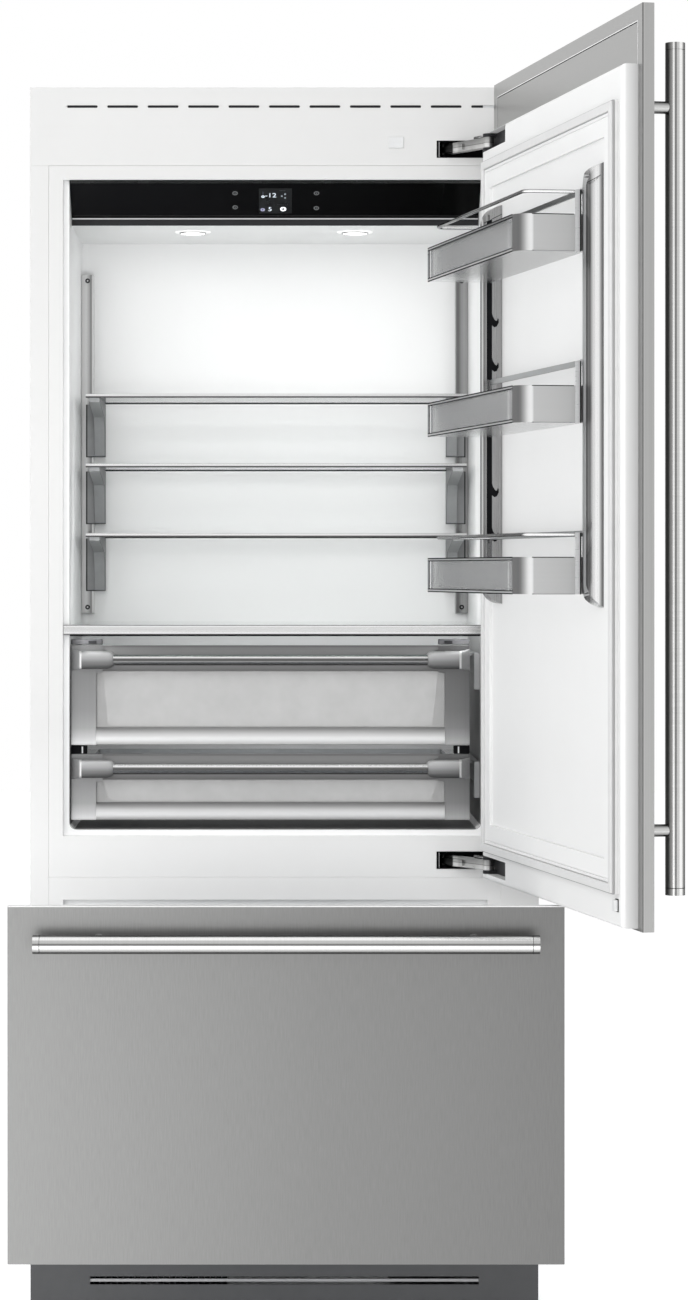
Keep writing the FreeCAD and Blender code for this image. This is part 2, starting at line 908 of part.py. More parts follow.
def door_parts():
    save("door_panel", opened(folded_panel(door_z, door_top_z)))
    z0 = door_z + door_body_low
    body = insulated_body(door_z, door_top_z, z0, door_body_top_z)
    x1 = along(body_inset) + cut_over
    x0 = along(body_inset) - door_pocket_len
    for z in (pocket_top_z, pocket_bottom_z):
        body = body.cut(box(x0, x1, out(door_pocket_n), out(body_n) + cut_over, z, z + pocket_h))
    g_low = fridge_floor_z - rim_w - gasket_step - gasket_w
    g_high = fridge_rim_top_z + gasket_step + gasket_w
    m = gasket_w + liner_margin
    liner = raised_liner(-gasket_out_x + m, gasket_hinge_x - m, g_low + m, g_high - m)
    save("door_body", opened(fuse([body, liner])))
    save("door_gasket", opened(gasket(g_low, g_high)))
    x = along(panel_w - bar_edge)
    y = out(-panel_t - bar_out)
    handle = bar_handle(
        V(x, y, door_bar_low_z), V(x, y, door_bar_high_z), V(0, -1, 0), stand_in, bar_out
    )
    save("door_handle", opened(handle))
    save("door_columns", opened(compound([column(col_near_in, 1), column(col_far_in, -1)])))


# Door bins
def wire_guard(z):
    x0 = along(bin_l1) + wire_r + band_t
    x1 = along(bin_l0) - wire_r - bin_wall
    y0 = out(bin_n0) + profile_w / 2
    y1 = out(bin_n1) - wire_bend_r
    b = wire_bend_r
    q = b - b / math.sqrt(2)
    edges = [
        Part.LineSegment(V(x0, y0, z), V(x0, y1 - b, z)).toShape(),
        Part.Arc(V(x0, y1 - b, z), V(x0 + q, y1 - q, z), V(x0 + b, y1, z)).toShape(),
        Part.LineSegment(V(x0 + b, y1, z), V(x1 - b, y1, z)).toShape(),
        Part.Arc(V(x1 - b, y1, z), V(x1 - q, y1 - q, z), V(x1, y1 - b, z)).toShape(),
        Part.LineSegment(V(x1, y1 - b, z), V(x1, y0, z)).toShape(),
    ]
    section = Part.Wire(Part.Circle(V(x0, y0, z), V(0, 1, 0), wire_r).toShape())
    return Part.Wire(edges).makePipeShell([section], True, False)


def door_bin(z, with_guard):
    x0 = along(bin_l1)
    x1 = along(bin_l0)
    y0 = out(bin_n0)
    y1 = out(bin_n1)
    t = bin_wall
    outer = box(x0 + band_t, x1, y0, y1 - band_t, z, z + bin_h)
    front = [
        e
        for e in upright_edges(outer, z, z + bin_h)
        if e.BoundBox.YMin > y1 - 2 * t and e.BoundBox.XMax < x0 + 2 * t
    ]
    outer = outer.makeFillet(band_r - band_t, front)
    room = box(x0 + band_t + t, x1 - t, y0 + t, y1 - band_t - t, z + t, z + bin_h + cut_over)
    corner = [
        e
        for e in upright_edges(room, z + t, z + bin_h)
        if e.BoundBox.YMin > y1 - 3 * t and e.BoundBox.XMax < x0 + 3 * t
    ]
    room = room.makeFillet(band_r - band_t - t, corner)
    clear = outer.cut(room)
    band = box(x0, x0 + band_r + band_front_l, y0, y1, z, z + bin_h)
    edge = [
        e
        for e in upright_edges(band, z, z + bin_h)
        if e.BoundBox.YMin > y1 - t and e.BoundBox.XMax < x0 + t
    ]
    band = band.makeFillet(band_r, edge)
    band = band.cut(outer)
    keep = box(x0 - t, x0 + band_r + band_front_l, y0, y1 + t, z, z + bin_h)
    band = band.common(keep)
    inner = box(x0 + band_t, x1, y0 - t, y1 - band_t, z - t, z + bin_h + t)
    band = band.cut(inner.common(box(x0 + band_r, x1, y0 - t, y1 - band_t, z - t, z + bin_h + t)))
    top = z + bin_back_h
    posts = []
    for px in (x0 + band_t, x1 - t):
        posts.append(box(px, px + t, y0, y0 + profile_w, z + bin_h, top))
    rail = box(x0 + band_t, x1, y0 + profile_w / 2 - rail_t, y0 + profile_w / 2, top - rail_h, top)
    strips = []
    for sz in (z, z + bin_h - strip_h):
        strips.append(
            box(x0 + band_r + band_front_l, x1, y1 - band_t, y1 - band_t + rail_t / 2, sz, sz + strip_h)
        )
    hooks = []
    ys = out(bin_hook_n) - hook_t / 2
    for hx0, hx1 in ((x0 - hook_reach, x0 + band_t), (x1, x1 + hook_reach)):
        hooks.append(box(hx0, hx1, ys, ys + hook_t, top - hook_h, top))
    clear = fuse([clear] + posts + [rail] + hooks)
    solids = [clear, band] + strips
    if with_guard:
        guard = wire_guard(top - wire_drop)
        solids.append(guard.cut(clear))
    return compound(solids)


def door_bins():
    for i in range(bin_count):
        shape = door_bin(bin_low_z + i * bin_pitch, i != 1)
        save("door_bin_" + str(i + 1), opened(shape))


# Shelf rails and shelves
def shelf_rail(x0, side):
    x1 = x0 + rail_w
    y0 = cav_back_y - rail_d
    shape = box(x0, x1, y0, cav_back_y, rail_low_z, rail_high_z)
    w = rail_wall
    room = box(x0 + w, x1 - w, y0 + w, cav_back_y - w, rail_low_z - cut_over, rail_high_z + cut_over)
    shape = shape.cut(room).common(cavity(fridge_floor_z, fridge_ceil_z))
    sx = x0 + rail_slot_in if side < 0 else x1 - rail_slot_in
    half = rail_slot_w / 2
    for i in range(shelf_count):
        z = shelf_low_z + i * shelf_pitch
        for tab_z in (z - gusset_h, z - tab_h):
            low = tab_z - seat_gap
            high = tab_z + tab_h + tab_room
            shape = shape.cut(box(sx - half, sx + half, y0 - cut_over, y0 + w + fit_gap, low, high))
    mid = (x0 + x1) / 2
    heads = []
    for z in (rail_low_z + screw_end, rail_high_z - screw_end):
        heads.append(cyl(screw_r, screw_head_t, V(mid, y0, z), V(0, -1, 0)))
    return fuse([shape] + heads)


def shelf_rails():
    left = -cav_left + fit_gap
    right = cav_right - fit_gap - rail_w
    save("shelf_rails", compound([shelf_rail(left, -1), shelf_rail(right, 1)]))


def gusset(z, side):
    outer = shelf_mid_x + side * gusset_out
    inner = outer - side * gusset_w
    x0 = min(outer, inner)
    back_y = shelf_back_y
    points = [
        V(x0, shelf_front_y + gusset_start, z),
        V(x0, back_y, z),
        V(x0, back_y, z - gusset_h),
        V(x0, back_y - gusset_heel_d / 2, z - gusset_h),
        V(x0, back_y - gusset_heel_d, z - gusset_h / 2),
        V(x0, back_y - 2 * gusset_heel_d, z - gusset_knee_z),
        V(x0, shelf_front_y + gusset_start, z - gusset_nose),
    ]
    arm = prism(points, V(gusset_w, 0, 0))
    rail_front = cav_back_y - rail_d
    plate_y0 = rail_front - hook_plate_t - run_gap
    reach = sorted((inner, outer + side * hook_plate_w))
    plate = box(reach[0], reach[1], plate_y0, plate_y0 + hook_plate_t, z - gusset_h, z)
    link = box(x0, x0 + gusset_w, back_y, plate_y0 + hook_plate_t, z - gusset_h, z)
    if side < 0:
        slot_x = -cav_left + fit_gap + rail_slot_in
    else:
        slot_x = cav_right - fit_gap - rail_slot_in
    tabs = []
    for tz in (z - gusset_h, z - tab_h):
        tab_x = slot_x - tab_t / 2
        tabs.append(box(tab_x, tab_x + tab_t, plate_y0, plate_y0 + hook_plate_t + tab_d, tz, tz + tab_h))
    return fuse([arm, link, plate] + tabs)


def shelf(z):
    x0 = shelf_mid_x - shelf_half_w
    x1 = shelf_mid_x + shelf_half_w
    front = box(x0, x1, shelf_front_y, shelf_front_y + shelf_trim_d, z, z + shelf_trim_h)
    rear = box(x0, x1, shelf_back_y - shelf_trim_d, shelf_back_y, z, z + shelf_trim_h)
    g0 = z + (shelf_trim_h - shelf_glass_t) / 2
    groove_y0 = shelf_front_y + shelf_trim_d / 2
    groove_y1 = shelf_back_y - shelf_trim_d / 2
    pane = box(x0, x1, groove_y0, groove_y1, g0, g0 + shelf_glass_t)
    front = front.cut(pane)
    rear = rear.cut(pane)
    pad_y1 = shelf_back_y - shelf_trim_d
    arms = []
    for side in (-1, 1):
        arm = gusset(z, side)
        outer = shelf_mid_x + side * gusset_out
        inner = outer - side * gusset_w
        pad = box(min(outer, inner), max(outer, inner), shelf_front_y + gusset_start, pad_y1, z, g0)
        arms.append(fuse([arm, pad]))
    return compound([pane, front, rear] + arms)


def shelves():
    for i in range(shelf_count):
        save("shelf_" + str(i + 1), shelf(shelf_low_z + i * shelf_pitch))


# Cover glass above the crispers
def crisper_cover():
    x0 = rim_left_x + fit_gap
    x1 = rim_right_x - fit_gap
    z1 = cover_top_z
    wide = box(x0, x1, fit_gap, rim_d - fit_gap, cover_trim_z, z1)
    inner_x0 = -cav_left + fit_gap
    inner_x1 = cav_right - fit_gap
    deep = box(inner_x0, inner_x1, fit_gap, cover_trim_d + fit_gap, cover_trim_z, z1)
    trim = fuse([wide, deep])
    glass_z = z1 - cover_glass_t
    seat = box(inner_x0, inner_x1, cover_trim_d / 2, cov_back(), glass_z, z1)
    seat = seat.common(cavity(fridge_floor_z, fridge_ceil_z))
    save("crisper_cover_trim", trim.cut(seat))
    pegs = []
    for x, sign in ((-cav_left, 1), (cav_right, -1)):
        for y in (cover_peg_in, cov_back() - cover_peg_rear_in):
            pegs.append(cyl(cover_peg_r, cover_peg_l, V(x, y, glass_z - cover_peg_r), V(sign, 0, 0)))
    save("crisper_cover_glass", seat)
    return pegs


def cov_back():
    return cav_back_y - cover_back_gap


# Crisper drawers
def crisper(name, z, h):
    x0 = -crisper_left_x
    x1 = crisper_right_x
    y0 = crisper_front_y
    y1 = y0 + crisper_frame_t
    ends = []
    for ex in (x0, x1 - end_w):
        ends.append(box(ex, ex + end_w, y0, y1, z, z + h))
    top = box(x0 + end_w, x1 - end_w, y0 + window_t, y1, z + h - top_rail_h, z + h)
    a = V(x0 + end_w, y0, z)
    b = V(x0 + end_w, y0 - bulge, z + bottom_rail_h * bulge_share)
    c = V(x0 + end_w, y0 + window_t, z + bottom_rail_h)
    profile = [
        Part.Arc(a, b, c).toShape(),
        Part.LineSegment(c, V(x0 + end_w, y1, z + bottom_rail_h)).toShape(),
        Part.LineSegment(V(x0 + end_w, y1, z + bottom_rail_h), V(x0 + end_w, y1, z)).toShape(),
        Part.LineSegment(V(x0 + end_w, y1, z), a).toShape(),
    ]
    low = Part.Face(Part.Wire(profile)).extrude(V(x1 - x0 - 2 * end_w, 0, 0))
    save(name + "_frame", fuse(ends + [top, low]))
    wz0 = z + bottom_rail_h
    wz1 = z + h - top_rail_h
    window = box(x0 + end_w, x1 - end_w, y0 + window_t, y0 + 2 * window_t, wz0, wz1)
    tx0 = x0 + tub_side
    tx1 = x1 - tub_side
    tz0 = z + tub_low
    tz1 = z + h - tub_top_drop
    body = tub(tx0, tx1, y1, tub_back_y, tz0, tz1, tub_wall, tub_draft, tub_r)
    lips = []
    rz = z + h - runner_drop
    for side in (-1, 1):
        frame_edge = x0 if side < 0 else x1
        edge = tx0 if side < 0 else tx1
        span = sorted((frame_edge, edge - side * tub_wall))
        lips.append(box(span[0], span[1], y1, tub_back_y - tub_r, tz1 - tub_lip, tz1))
        guide = frame_edge - side * (runner_seat + runner_gap)
        inner = sorted((guide, guide - side * guide_t))
        lips.append(box(inner[0], inner[1], y1, tub_back_y - tub_r, rz, tz1))
    rear_room = tapered(
        tx0 + tub_wall,
        tx1 - tub_wall,
        y1 + tub_wall,
        tub_back_y - tub_wall,
        tz0 + tub_wall,
        tz1 + tub_wall,
        tub_draft,
        tub_r - tub_wall,
    )
    shell = fuse([body] + [lip.cut(rear_room) for lip in lips])
    save(name + "_tub", compound([shell, window]))
    tz = z + h - tube_drop
    s0 = x0 + sleeve_in
    s1 = x1 - sleeve_in
    tube = cyl(tube_r, s1 - s0 - 2 * sleeve_nose, V(s0 + sleeve_nose, tube_y, tz), V(1, 0, 0))
    pieces = [tube]
    for start, sign in ((s0, 1), (s1, -1)):
        lo = min(start, start + sign * sleeve_l)
        block = box(lo, lo + sleeve_l, tube_y, y0, tz - sleeve_w / 2, tz + sleeve_w / 2)
        nose = cyl(sleeve_w / 2, sleeve_l - sleeve_nose, V(start, tube_y, tz), V(sign, 0, 0))
        nose = nose.common(box(lo, lo + sleeve_l, tube_y - tube_r - fit_gap, y0, tz - h, tz + h))
        cone = Part.makeCone(
            sleeve_w / 2,
            tube_r,
            sleeve_nose,
            V(start + sign * (sleeve_l - sleeve_nose), tube_y, tz),
            V(sign, 0, 0),
        )
        cone = cone.common(box(lo, lo + sleeve_l, tube_y - tube_r - fit_gap, y0, tz - h, tz + h))
        stub = end_w - sleeve_in
        keep = sorted((start, start + sign * stub))
        block = block.common(box(keep[0], keep[1], 0, y0, tz - h, tz + h))
        pieces = pieces + [block, nose, cone]
    save(name + "_handle", fuse(pieces))


def crispers():
    crisper("crisper_upper", upper_z, upper_h)
    crisper("crisper_lower", lower_z, lower_h)


def fixed_slides(pegs):
    parts = list(pegs)
    for z, h in ((upper_z, upper_h), (lower_z, lower_h)):
        rz = z + h - runner_drop
        top = z + h - tub_top_drop - tub_lip - run_gap
        for side in (-1, 1):
            wall = -cav_left if side < 0 else cav_right
            frame_edge = -crisper_left_x if side < 0 else crisper_right_x
            inner = frame_edge - side * runner_seat
            span = sorted((wall, max(wall - runner_w, inner) if side > 0 else inner))
            y0 = crisper_front_y + crisper_frame_t + fit_gap
            y1 = y0 + crisper_rail_l
            rail = box(span[0], span[1], y0, y1, rz, top)
            foot = box(span[0], span[1], y0, y0 + rail_stop_l, rz - runner_foot_h, rz)
            seat = sorted((wall, inner))
            flange = box(seat[0], seat[1], y0 + runner_set_back, y1, top - runner_flange_t, top)
            parts.append(fuse([rail, foot, flange]))
    for side in (-1, 1):
        wall = -cav_left if side < 0 else cav_right
        span = sorted((wall, wall - side * slide_fixed_t))
        parts.append(box(span[0], span[1], slide_y0, slide_y0 + slide_l, slide_z, slide_z + slide_h))
    save("fixed_slides", compound(parts))


# Freezer drawer
def freezer_drawer():
    z0 = drawer_z
    z1 = drawer_top_z
    save("freezer_panel", pulled(folded_panel(z0, z1)))
    body = insulated_body(z0, z1, z0 + door_body_low, freezer_body_top_z)
    g_low = freezer_floor_z - rim_w - gasket_step - gasket_w
    g_high = freezer_ceil_z + rim_w + gasket_step + gasket_w
    m = gasket_w + liner_margin
    liner = raised_liner(-gasket_out_x + m, gasket_hinge_x - m, g_low + m, g_high - m)
    save("freezer_body", pulled(fuse([body, liner])))
    save("freezer_gasket", pulled(gasket(g_low, g_high)))
    y = out(-panel_t - bar_out)
    z = z1 - bar_edge
    half = drawer_bar_l / 2
    handle = bar_handle(V(-half, y, z), V(half, y, z), V(0, -1, 0), drawer_stand_in, bar_out)
    save("freezer_handle", pulled(handle))
    bx0 = -cav_left + basket_side
    bx1 = cav_right - basket_side
    box_top = basket_low_z + basket_h
    shell = tub(bx0, bx1, basket_y0, basket_y1, basket_low_z, box_top, basket_wall, 0, basket_r)
    save("freezer_basket", pulled(shell))
    frame = []
    move_x = slide_fixed_t + slide_mid_t + 2 * slide_gap
    for side in (-1, 1):
        wall = -cav_left if side < 0 else cav_right
        edge = bx0 if side < 0 else bx1
        near = wall - side * move_x
        member = sorted((near, near - side * slide_move_t))
        bar_y0 = out(body_n + liner_raise) - liner_recess
        frame.append(box(member[0], member[1], bar_y0, slide_y0 + slide_l, slide_z, slide_z + slide_h))
        shelf_x = sorted((near - side * slide_move_t, edge))
        top = slide_z + slide_h
        frame.append(box(shelf_x[0], shelf_x[1], basket_y0, basket_y1, top - basket_bracket_t, top))
    save("freezer_slide_moving", pulled(compound(frame)))
    mids = []
    for side in (-1, 1):
        wall = -cav_left if side < 0 else cav_right
        near = wall - side * (slide_fixed_t + slide_gap)
        span = sorted((near, near - side * slide_mid_t))
        mids.append(box(span[0], span[1], slide_y0, slide_y0 + slide_l, slide_z, slide_z + slide_h))
    save("freezer_slide_middle", shifted(compound(mids), V(0, -drawer_out / 2, 0)))
    tz = box_top + tray_lift
    tray = tub(bx0, bx1, tray_y0, tray_y1, tz, tz + tray_h, tray_wall, 0, basket_r)
    save("freezer_tray", pulled(tray))


# Freezer cold side
def blower(hub, r, depth, at):
    rotor = [cyl(hub, depth, at, V(0, 1, 0))]
    for i in range(fan_blades):
        blade = box(-fan_blade_t / 2, fan_blade_t / 2, -depth / 2, depth / 2, hub / 2, r)
        blade.rotate(V(0, 0, 0), V(0, 0, 1), fan_pitch)
        blade.rotate(V(0, 0, 0), V(0, 1, 0), 360 * i / fan_blades)
        blade.translate(V(at.x, at.y + depth / 2, at.z))
        rotor.append(blade)
    wheel = fuse(rotor).common(cyl(r, depth, at, V(0, 1, 0)))
    return wheel.cut(cyl(shaft_r + shaft_fit, depth, at, V(0, 1, 0)))


def cold_side():
    x0 = -cav_left + duct_side
    x1 = cav_right - duct_side
    cover = box(x0, x1, duct_y, duct_y + duct_t, freezer_floor_z + cav_corner_r, freezer_ceil_z)
    hole = cyl(
        evap_fan_r + fan_hole_gap, 2 * cut_over, V(cav_mid, duct_y - cut_over, evap_fan_z), V(0, 1, 0)
    )
    cover = cover.cut(hole)
    for i in range(duct_slot_count):
        z = duct_slot_z + i * duct_slot_pitch
        half = duct_slot_w / 2
        cover = cover.cut(
            box(cav_mid - half, cav_mid + half, duct_y - cut_over, duct_y + cut_over, z, z + duct_slot_h)
        )
    spokes = []
    for turn in (0, 90):
        arm_r = evap_fan_r + 2 * fan_hole_gap
        spoke = box(-arm_r, arm_r, -duct_t, 0, -fin_t, fin_t)
        spoke.rotate(V(0, 0, 0), V(0, 1, 0), turn)
        spoke.translate(V(cav_mid, duct_y, evap_fan_z))
        spokes.append(spoke)
    guard = ring_disc(evap_fan_r + 2 * fan_hole_gap, evap_fan_r + fan_hole_gap, duct_t)
    guard.translate(V(cav_mid, duct_y, evap_fan_z))
    save("freezer_duct_cover", fuse([cover, guard] + spokes))
    half = evap_w / 2
    ex0 = cav_mid - half
    fins = []
    step = (evap_w - fin_t) / (evap_fin_count - 1)
    top = evap_low_z + evap_h
    for i in range(evap_fin_count):
        x = ex0 + i * step
        fins.append(box(x, x + fin_t, evap_y0, evap_y0 + evap_d, evap_low_z, top))
    for i in range(evap_rows):
        z = evap_low_z + evap_h * (i + 1) / (evap_rows + 1)
        fins.append(cyl(evap_tube_r, evap_w, V(ex0, evap_y0 + evap_d / 2, z), V(1, 0, 0)))
    for x in (ex0, ex0 + evap_w - evap_foot_h):
        y = evap_y0 + evap_d
        fins.append(box(x, x + evap_foot_h, y - fin_t, cav_back_y, evap_low_z, evap_low_z + evap_foot_h))
        fins.append(box(x, x + evap_foot_h, y - fin_t, cav_back_y, top - evap_foot_h, top))
    coil = fuse(fins)
    hub = evap_fan_r * fan_hub_share
    fan_y = duct_y + duct_t + fan_hole_gap
    save("evaporator_fan", blower(hub, evap_fan_r, fan_d, V(cav_mid, fan_y, evap_fan_z)))
    back = fan_y + fan_d + run_gap
    motor = cyl(motor_r, cav_back_y - back, V(cav_mid, back, evap_fan_z), V(0, 1, 0))
    shaft = cyl(shaft_r, fan_d + run_gap, V(cav_mid, fan_y, evap_fan_z), V(0, 1, 0))
    save("freezer_evaporator", compound([coil, fuse([motor, shaft])]))


def ring_disc(outer, inner, t):
    disc = cyl(outer, t, V(0, -t, 0), V(0, 1, 0))
    return disc.cut(cyl(inner, t, V(0, -t, 0), V(0, 1, 0)))


# Base and machine space
def drip_dish():
    z = pan_z + pan_t
    hw = dish_w / 2
    hd = dish_d / 2
    return tub(
        dish_x - hw, dish_x + hw, dish_y - hd, dish_y + hd, z, z + dish_h, dish_wall, dish_wall, dish_h
    )


def base_parts():
    x0 = -half_w + side_rail_t
    x1 = half_w - side_rail_t
    y0 = plinth_y + plinth_fold
    y1 = cab_d - rear_cover_t
    pan = box(x0, x1, y0, y1, pan_z, pan_z + pan_t)
    lip = box(x0, x1, y0, y0 + pan_t, pan_z, pan_z + pan_lip)
    solids = [fuse([pan, lip])]
    for side in (-1, 1):
        outer = side * half_w
        web = sorted((outer, outer - side * side_rail_t))
        flange = sorted((outer, outer - side * side_rail_flange))
        wall = box(web[0], web[1], y0, y1, pan_z, carcass_z)
        cap = box(flange[0], flange[1], y0, y1, carcass_z - side_rail_t, carcass_z)
        solids.append(fuse([wall, cap]))
    solids.append(drip_dish())
    save("base_frame", compound(solids))
    feet = []
    for x in (-half_w + foot_in_x, half_w - foot_in_x):
        for y in (plinth_y + plinth_fold + foot_in_y, cab_d - foot_in_y):
            pad = cyl(foot_r, foot_h, V(x, y, 0), up())
            stem = cyl(foot_stem_r, pan_z - foot_h, V(x, y, foot_h), up())
            feet.append(fuse([pad, stem]))
    save("levelling_feet", compound(feet))
    z0 = plinth_low_z
    z1 = plinth_high_z
    face = box(-half_w, half_w, plinth_y, plinth_y + plinth_t, z0, z1)
    folds = []
    for z in (z0, z1 - plinth_t):
        folds.append(box(-half_w, half_w, plinth_y, plinth_y + plinth_fold, z, z + plinth_t))
    for x in (-half_w, half_w - plinth_t):
        folds.append(box(x, x + plinth_t, plinth_y, plinth_y + plinth_fold, z0, z1))
    shape = fuse([face] + folds)
    half = plinth_slot_half
    s0 = plinth_slot_z
    slot = box(-half, half, 0, plinth_y + plinth_t + fit_gap, s0, s0 + plinth_slot_h)
    shape = shape.cut(slot)
    bz = s0 + (plinth_slot_h - plinth_bar_h) / 2
    by = plinth_y + plinth_t
    bar = box(-half - plinth_bar_d, half + plinth_bar_d, by, by + plinth_bar_d, bz, bz + plinth_bar_h)
    save("plinth", compound([shape, bar]))
    cover = box(-half_w, half_w, y1, cab_d, rear_low_z, carcass_z)
    z = (rear_low_z + carcass_z - louvre_h) / 2
    for i in range(louvre_count):
        x = (i - (louvre_count - 1) / 2) * louvre_pitch
        cover = cover.cut(box(x, x + louvre_w, y1 - cut_over, cab_d + cut_over, z, z + louvre_h))
    hole = box(
        inlet_x - inlet_w / 2,
        inlet_x + inlet_w / 2,
        y1 - cut_over,
        cab_d + cut_over,
        inlet_z - inlet_h / 2,
        inlet_z + inlet_h / 2,
    )
    cover = cover.cut(hole)
    block = box(
        inlet_x - inlet_w / 2,
        inlet_x + inlet_w / 2,
        cab_d - inlet_d,
        cab_d,
        inlet_z - inlet_h / 2,
        inlet_z + inlet_h / 2,
    )
    socket = box(
        inlet_x - inlet_hole_w / 2,
        inlet_x + inlet_hole_w / 2,
        cab_d - inlet_d + 2 * sheet_t,
        cab_d + cut_over,
        inlet_z - inlet_hole_h / 2,
        inlet_z + inlet_hole_h / 2,
    )
    save("rear_cover", compound([cover, block.cut(socket)]))


def compressor():
    z = pan_z + pan_t
    pieces = []
    for dx in (-1, 1):
        for dy in (-1, 1):
            x = comp_x + dx * (comp_foot_w / 2 - grommet_r)
            y = comp_y + dy * (comp_foot_d / 2 - grommet_r)
            pieces.append(cyl(grommet_r, grommet_h, V(x, y, z), up()))
    foot_z = z + grommet_h
    hw = comp_foot_w / 2
    hd = comp_foot_d / 2
    foot = box(comp_x - hw, comp_x + hw, comp_y - hd, comp_y + hd, foot_z, foot_z + comp_foot_t)
    shell_z = foot_z + comp_foot_t
    shell = cyl(comp_r, comp_h, V(comp_x, comp_y, shell_z), up())
    shell = shell.makeFillet(comp_dome, [e for e in shell.Edges if e.BoundBox.ZMin > shell_z + fit_gap])
    save("compressor", fuse([foot, shell] + pieces))


def condenser():
    z = pan_z + pan_t
    fins = []
    step = (cond_w - fin_t) / (cond_fin_count - 1)
    for i in range(cond_fin_count):
        x = cond_x0 + i * step
        fins.append(box(x, x + fin_t, cond_y0, cond_y0 + cond_d, z, z + cond_h))
    for i in range(cond_rows):
        rz = z + cond_h * (i + 1) / (cond_rows + 1)
        fins.append(cyl(cond_tube_r, cond_w, V(cond_x0, cond_y0 + cond_d / 2, rz), V(1, 0, 0)))
    save("condenser", fuse(fins))
    x0 = cond_x0
    x1 = cond_x0 + cond_w
    y = fan_shroud_y
    plate = box(x0, x1, y, y + shroud_t, z, z + cond_h)
    mid_z = z + cond_h / 2
    hole = cyl(fan_r + fan_hole_gap, 2 * cut_over, V(fan_x, y - cut_over, mid_z), V(0, 1, 0))
    legs = []
    for x in (x0, x1 - shroud_t):
        legs.append(box(x, x + shroud_t, y, y + shroud_d, z, z + cond_h))
    plate = plate.cut(hole)
    span = motor_r / 2
    beam_y = y + shroud_t + fan_d + 2 * fan_hole_gap
    beam = box(x0, x1, beam_y, beam_y + shroud_t, mid_z - span, mid_z + span)
    shaft = cyl(shaft_r, beam_y - y - shroud_t, V(fan_x, y + shroud_t, mid_z), V(0, 1, 0))
    motor_y = y + shroud_t + fan_hole_gap + fan_d + run_gap
    motor = cyl(motor_r, beam_y - motor_y, V(fan_x, motor_y, mid_z), V(0, 1, 0))
    save("condenser_shroud", fuse([plate, beam, shaft, motor] + legs))
    hub = fan_r * fan_hub_share
    at = V(fan_x, y + shroud_t + fan_hole_gap, mid_z)
    save("condenser_fan", blower(hub, fan_r, fan_d, at))


def machine_space():
    compressor()
    condenser()
    pipes_y = cab_d - channel_d / 2
    low = pan_z + pan_t + grommet_h + comp_foot_t + comp_h / 2
    runs = []
    start = V(comp_x, comp_y + comp_r, low)
    corner = V(comp_x, pipes_y, low)
    upper = V(comp_x, pipes_y, evap_fan_z)
    runs.append(cyl(pipe_r, corner.sub(start).Length, start, V(0, 1, 0)))
    runs.append(Part.makeSphere(pipe_r, corner))
    runs.append(cyl(pipe_r, upper.sub(corner).Length, corner, up()))
    runs.append(Part.makeSphere(pipe_r, upper))
    side_l = comp_x - cond_x0 - cond_w / 2
    runs.append(cyl(pipe_r, side_l, upper, V(-1, 0, 0)))
    runs.append(Part.makeSphere(pipe_r, V(comp_x - side_l, pipes_y, evap_fan_z)))
    save("refrigerant_pipes", fuse(runs))


def main():
    os.makedirs("parts", exist_ok=True)
    cabinet_walls()
    front_pieces()
    liners()
    control_parts()
    hinges()
    door_parts()
    door_bins()
    shelf_rails()
    shelves()
    pegs = crisper_cover()
    crispers()
    fixed_slides(pegs)
    freezer_drawer()
    cold_side()
    base_parts()
    machine_space()


main()
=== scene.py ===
import bmesh
import bpy
import json
import math
from mathutils import Matrix, Vector

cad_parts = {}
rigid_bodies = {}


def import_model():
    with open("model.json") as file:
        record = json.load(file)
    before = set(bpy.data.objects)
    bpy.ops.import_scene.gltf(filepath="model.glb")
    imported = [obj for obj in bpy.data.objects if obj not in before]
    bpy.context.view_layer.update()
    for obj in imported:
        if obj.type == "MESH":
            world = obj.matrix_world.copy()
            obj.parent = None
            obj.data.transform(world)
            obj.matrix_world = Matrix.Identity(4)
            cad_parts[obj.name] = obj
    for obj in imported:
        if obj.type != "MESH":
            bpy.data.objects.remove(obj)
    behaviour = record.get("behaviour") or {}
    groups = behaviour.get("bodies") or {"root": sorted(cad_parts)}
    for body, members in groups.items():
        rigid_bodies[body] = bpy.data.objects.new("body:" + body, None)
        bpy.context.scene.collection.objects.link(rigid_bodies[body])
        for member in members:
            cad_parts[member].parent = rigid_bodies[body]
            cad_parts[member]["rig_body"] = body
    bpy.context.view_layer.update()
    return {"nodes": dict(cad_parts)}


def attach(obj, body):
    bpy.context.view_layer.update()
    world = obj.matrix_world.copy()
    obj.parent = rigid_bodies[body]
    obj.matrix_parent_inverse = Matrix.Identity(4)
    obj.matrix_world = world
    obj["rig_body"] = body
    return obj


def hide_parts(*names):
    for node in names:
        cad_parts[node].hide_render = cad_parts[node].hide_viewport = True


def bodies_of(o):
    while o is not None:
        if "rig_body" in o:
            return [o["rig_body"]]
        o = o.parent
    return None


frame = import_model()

NODES = frame["nodes"]
MM = 0.001

# ---- places
HERE = Matrix.Identity(4)
PIN_CLOSED = Vector((405.2, -19.6, 0)) * MM
PIN_OPEN = Vector((350.6525, -93.9974, 0)) * MM
DOOR_TURN = Matrix.Rotation(math.radians(100.37), 4, "Z")
# door pieces are drawn with the door shut, and OPENED takes them to the rest pose
OPENED = Matrix.Translation(PIN_OPEN) @ DOOR_TURN @ Matrix.Translation(-PIN_CLOSED)


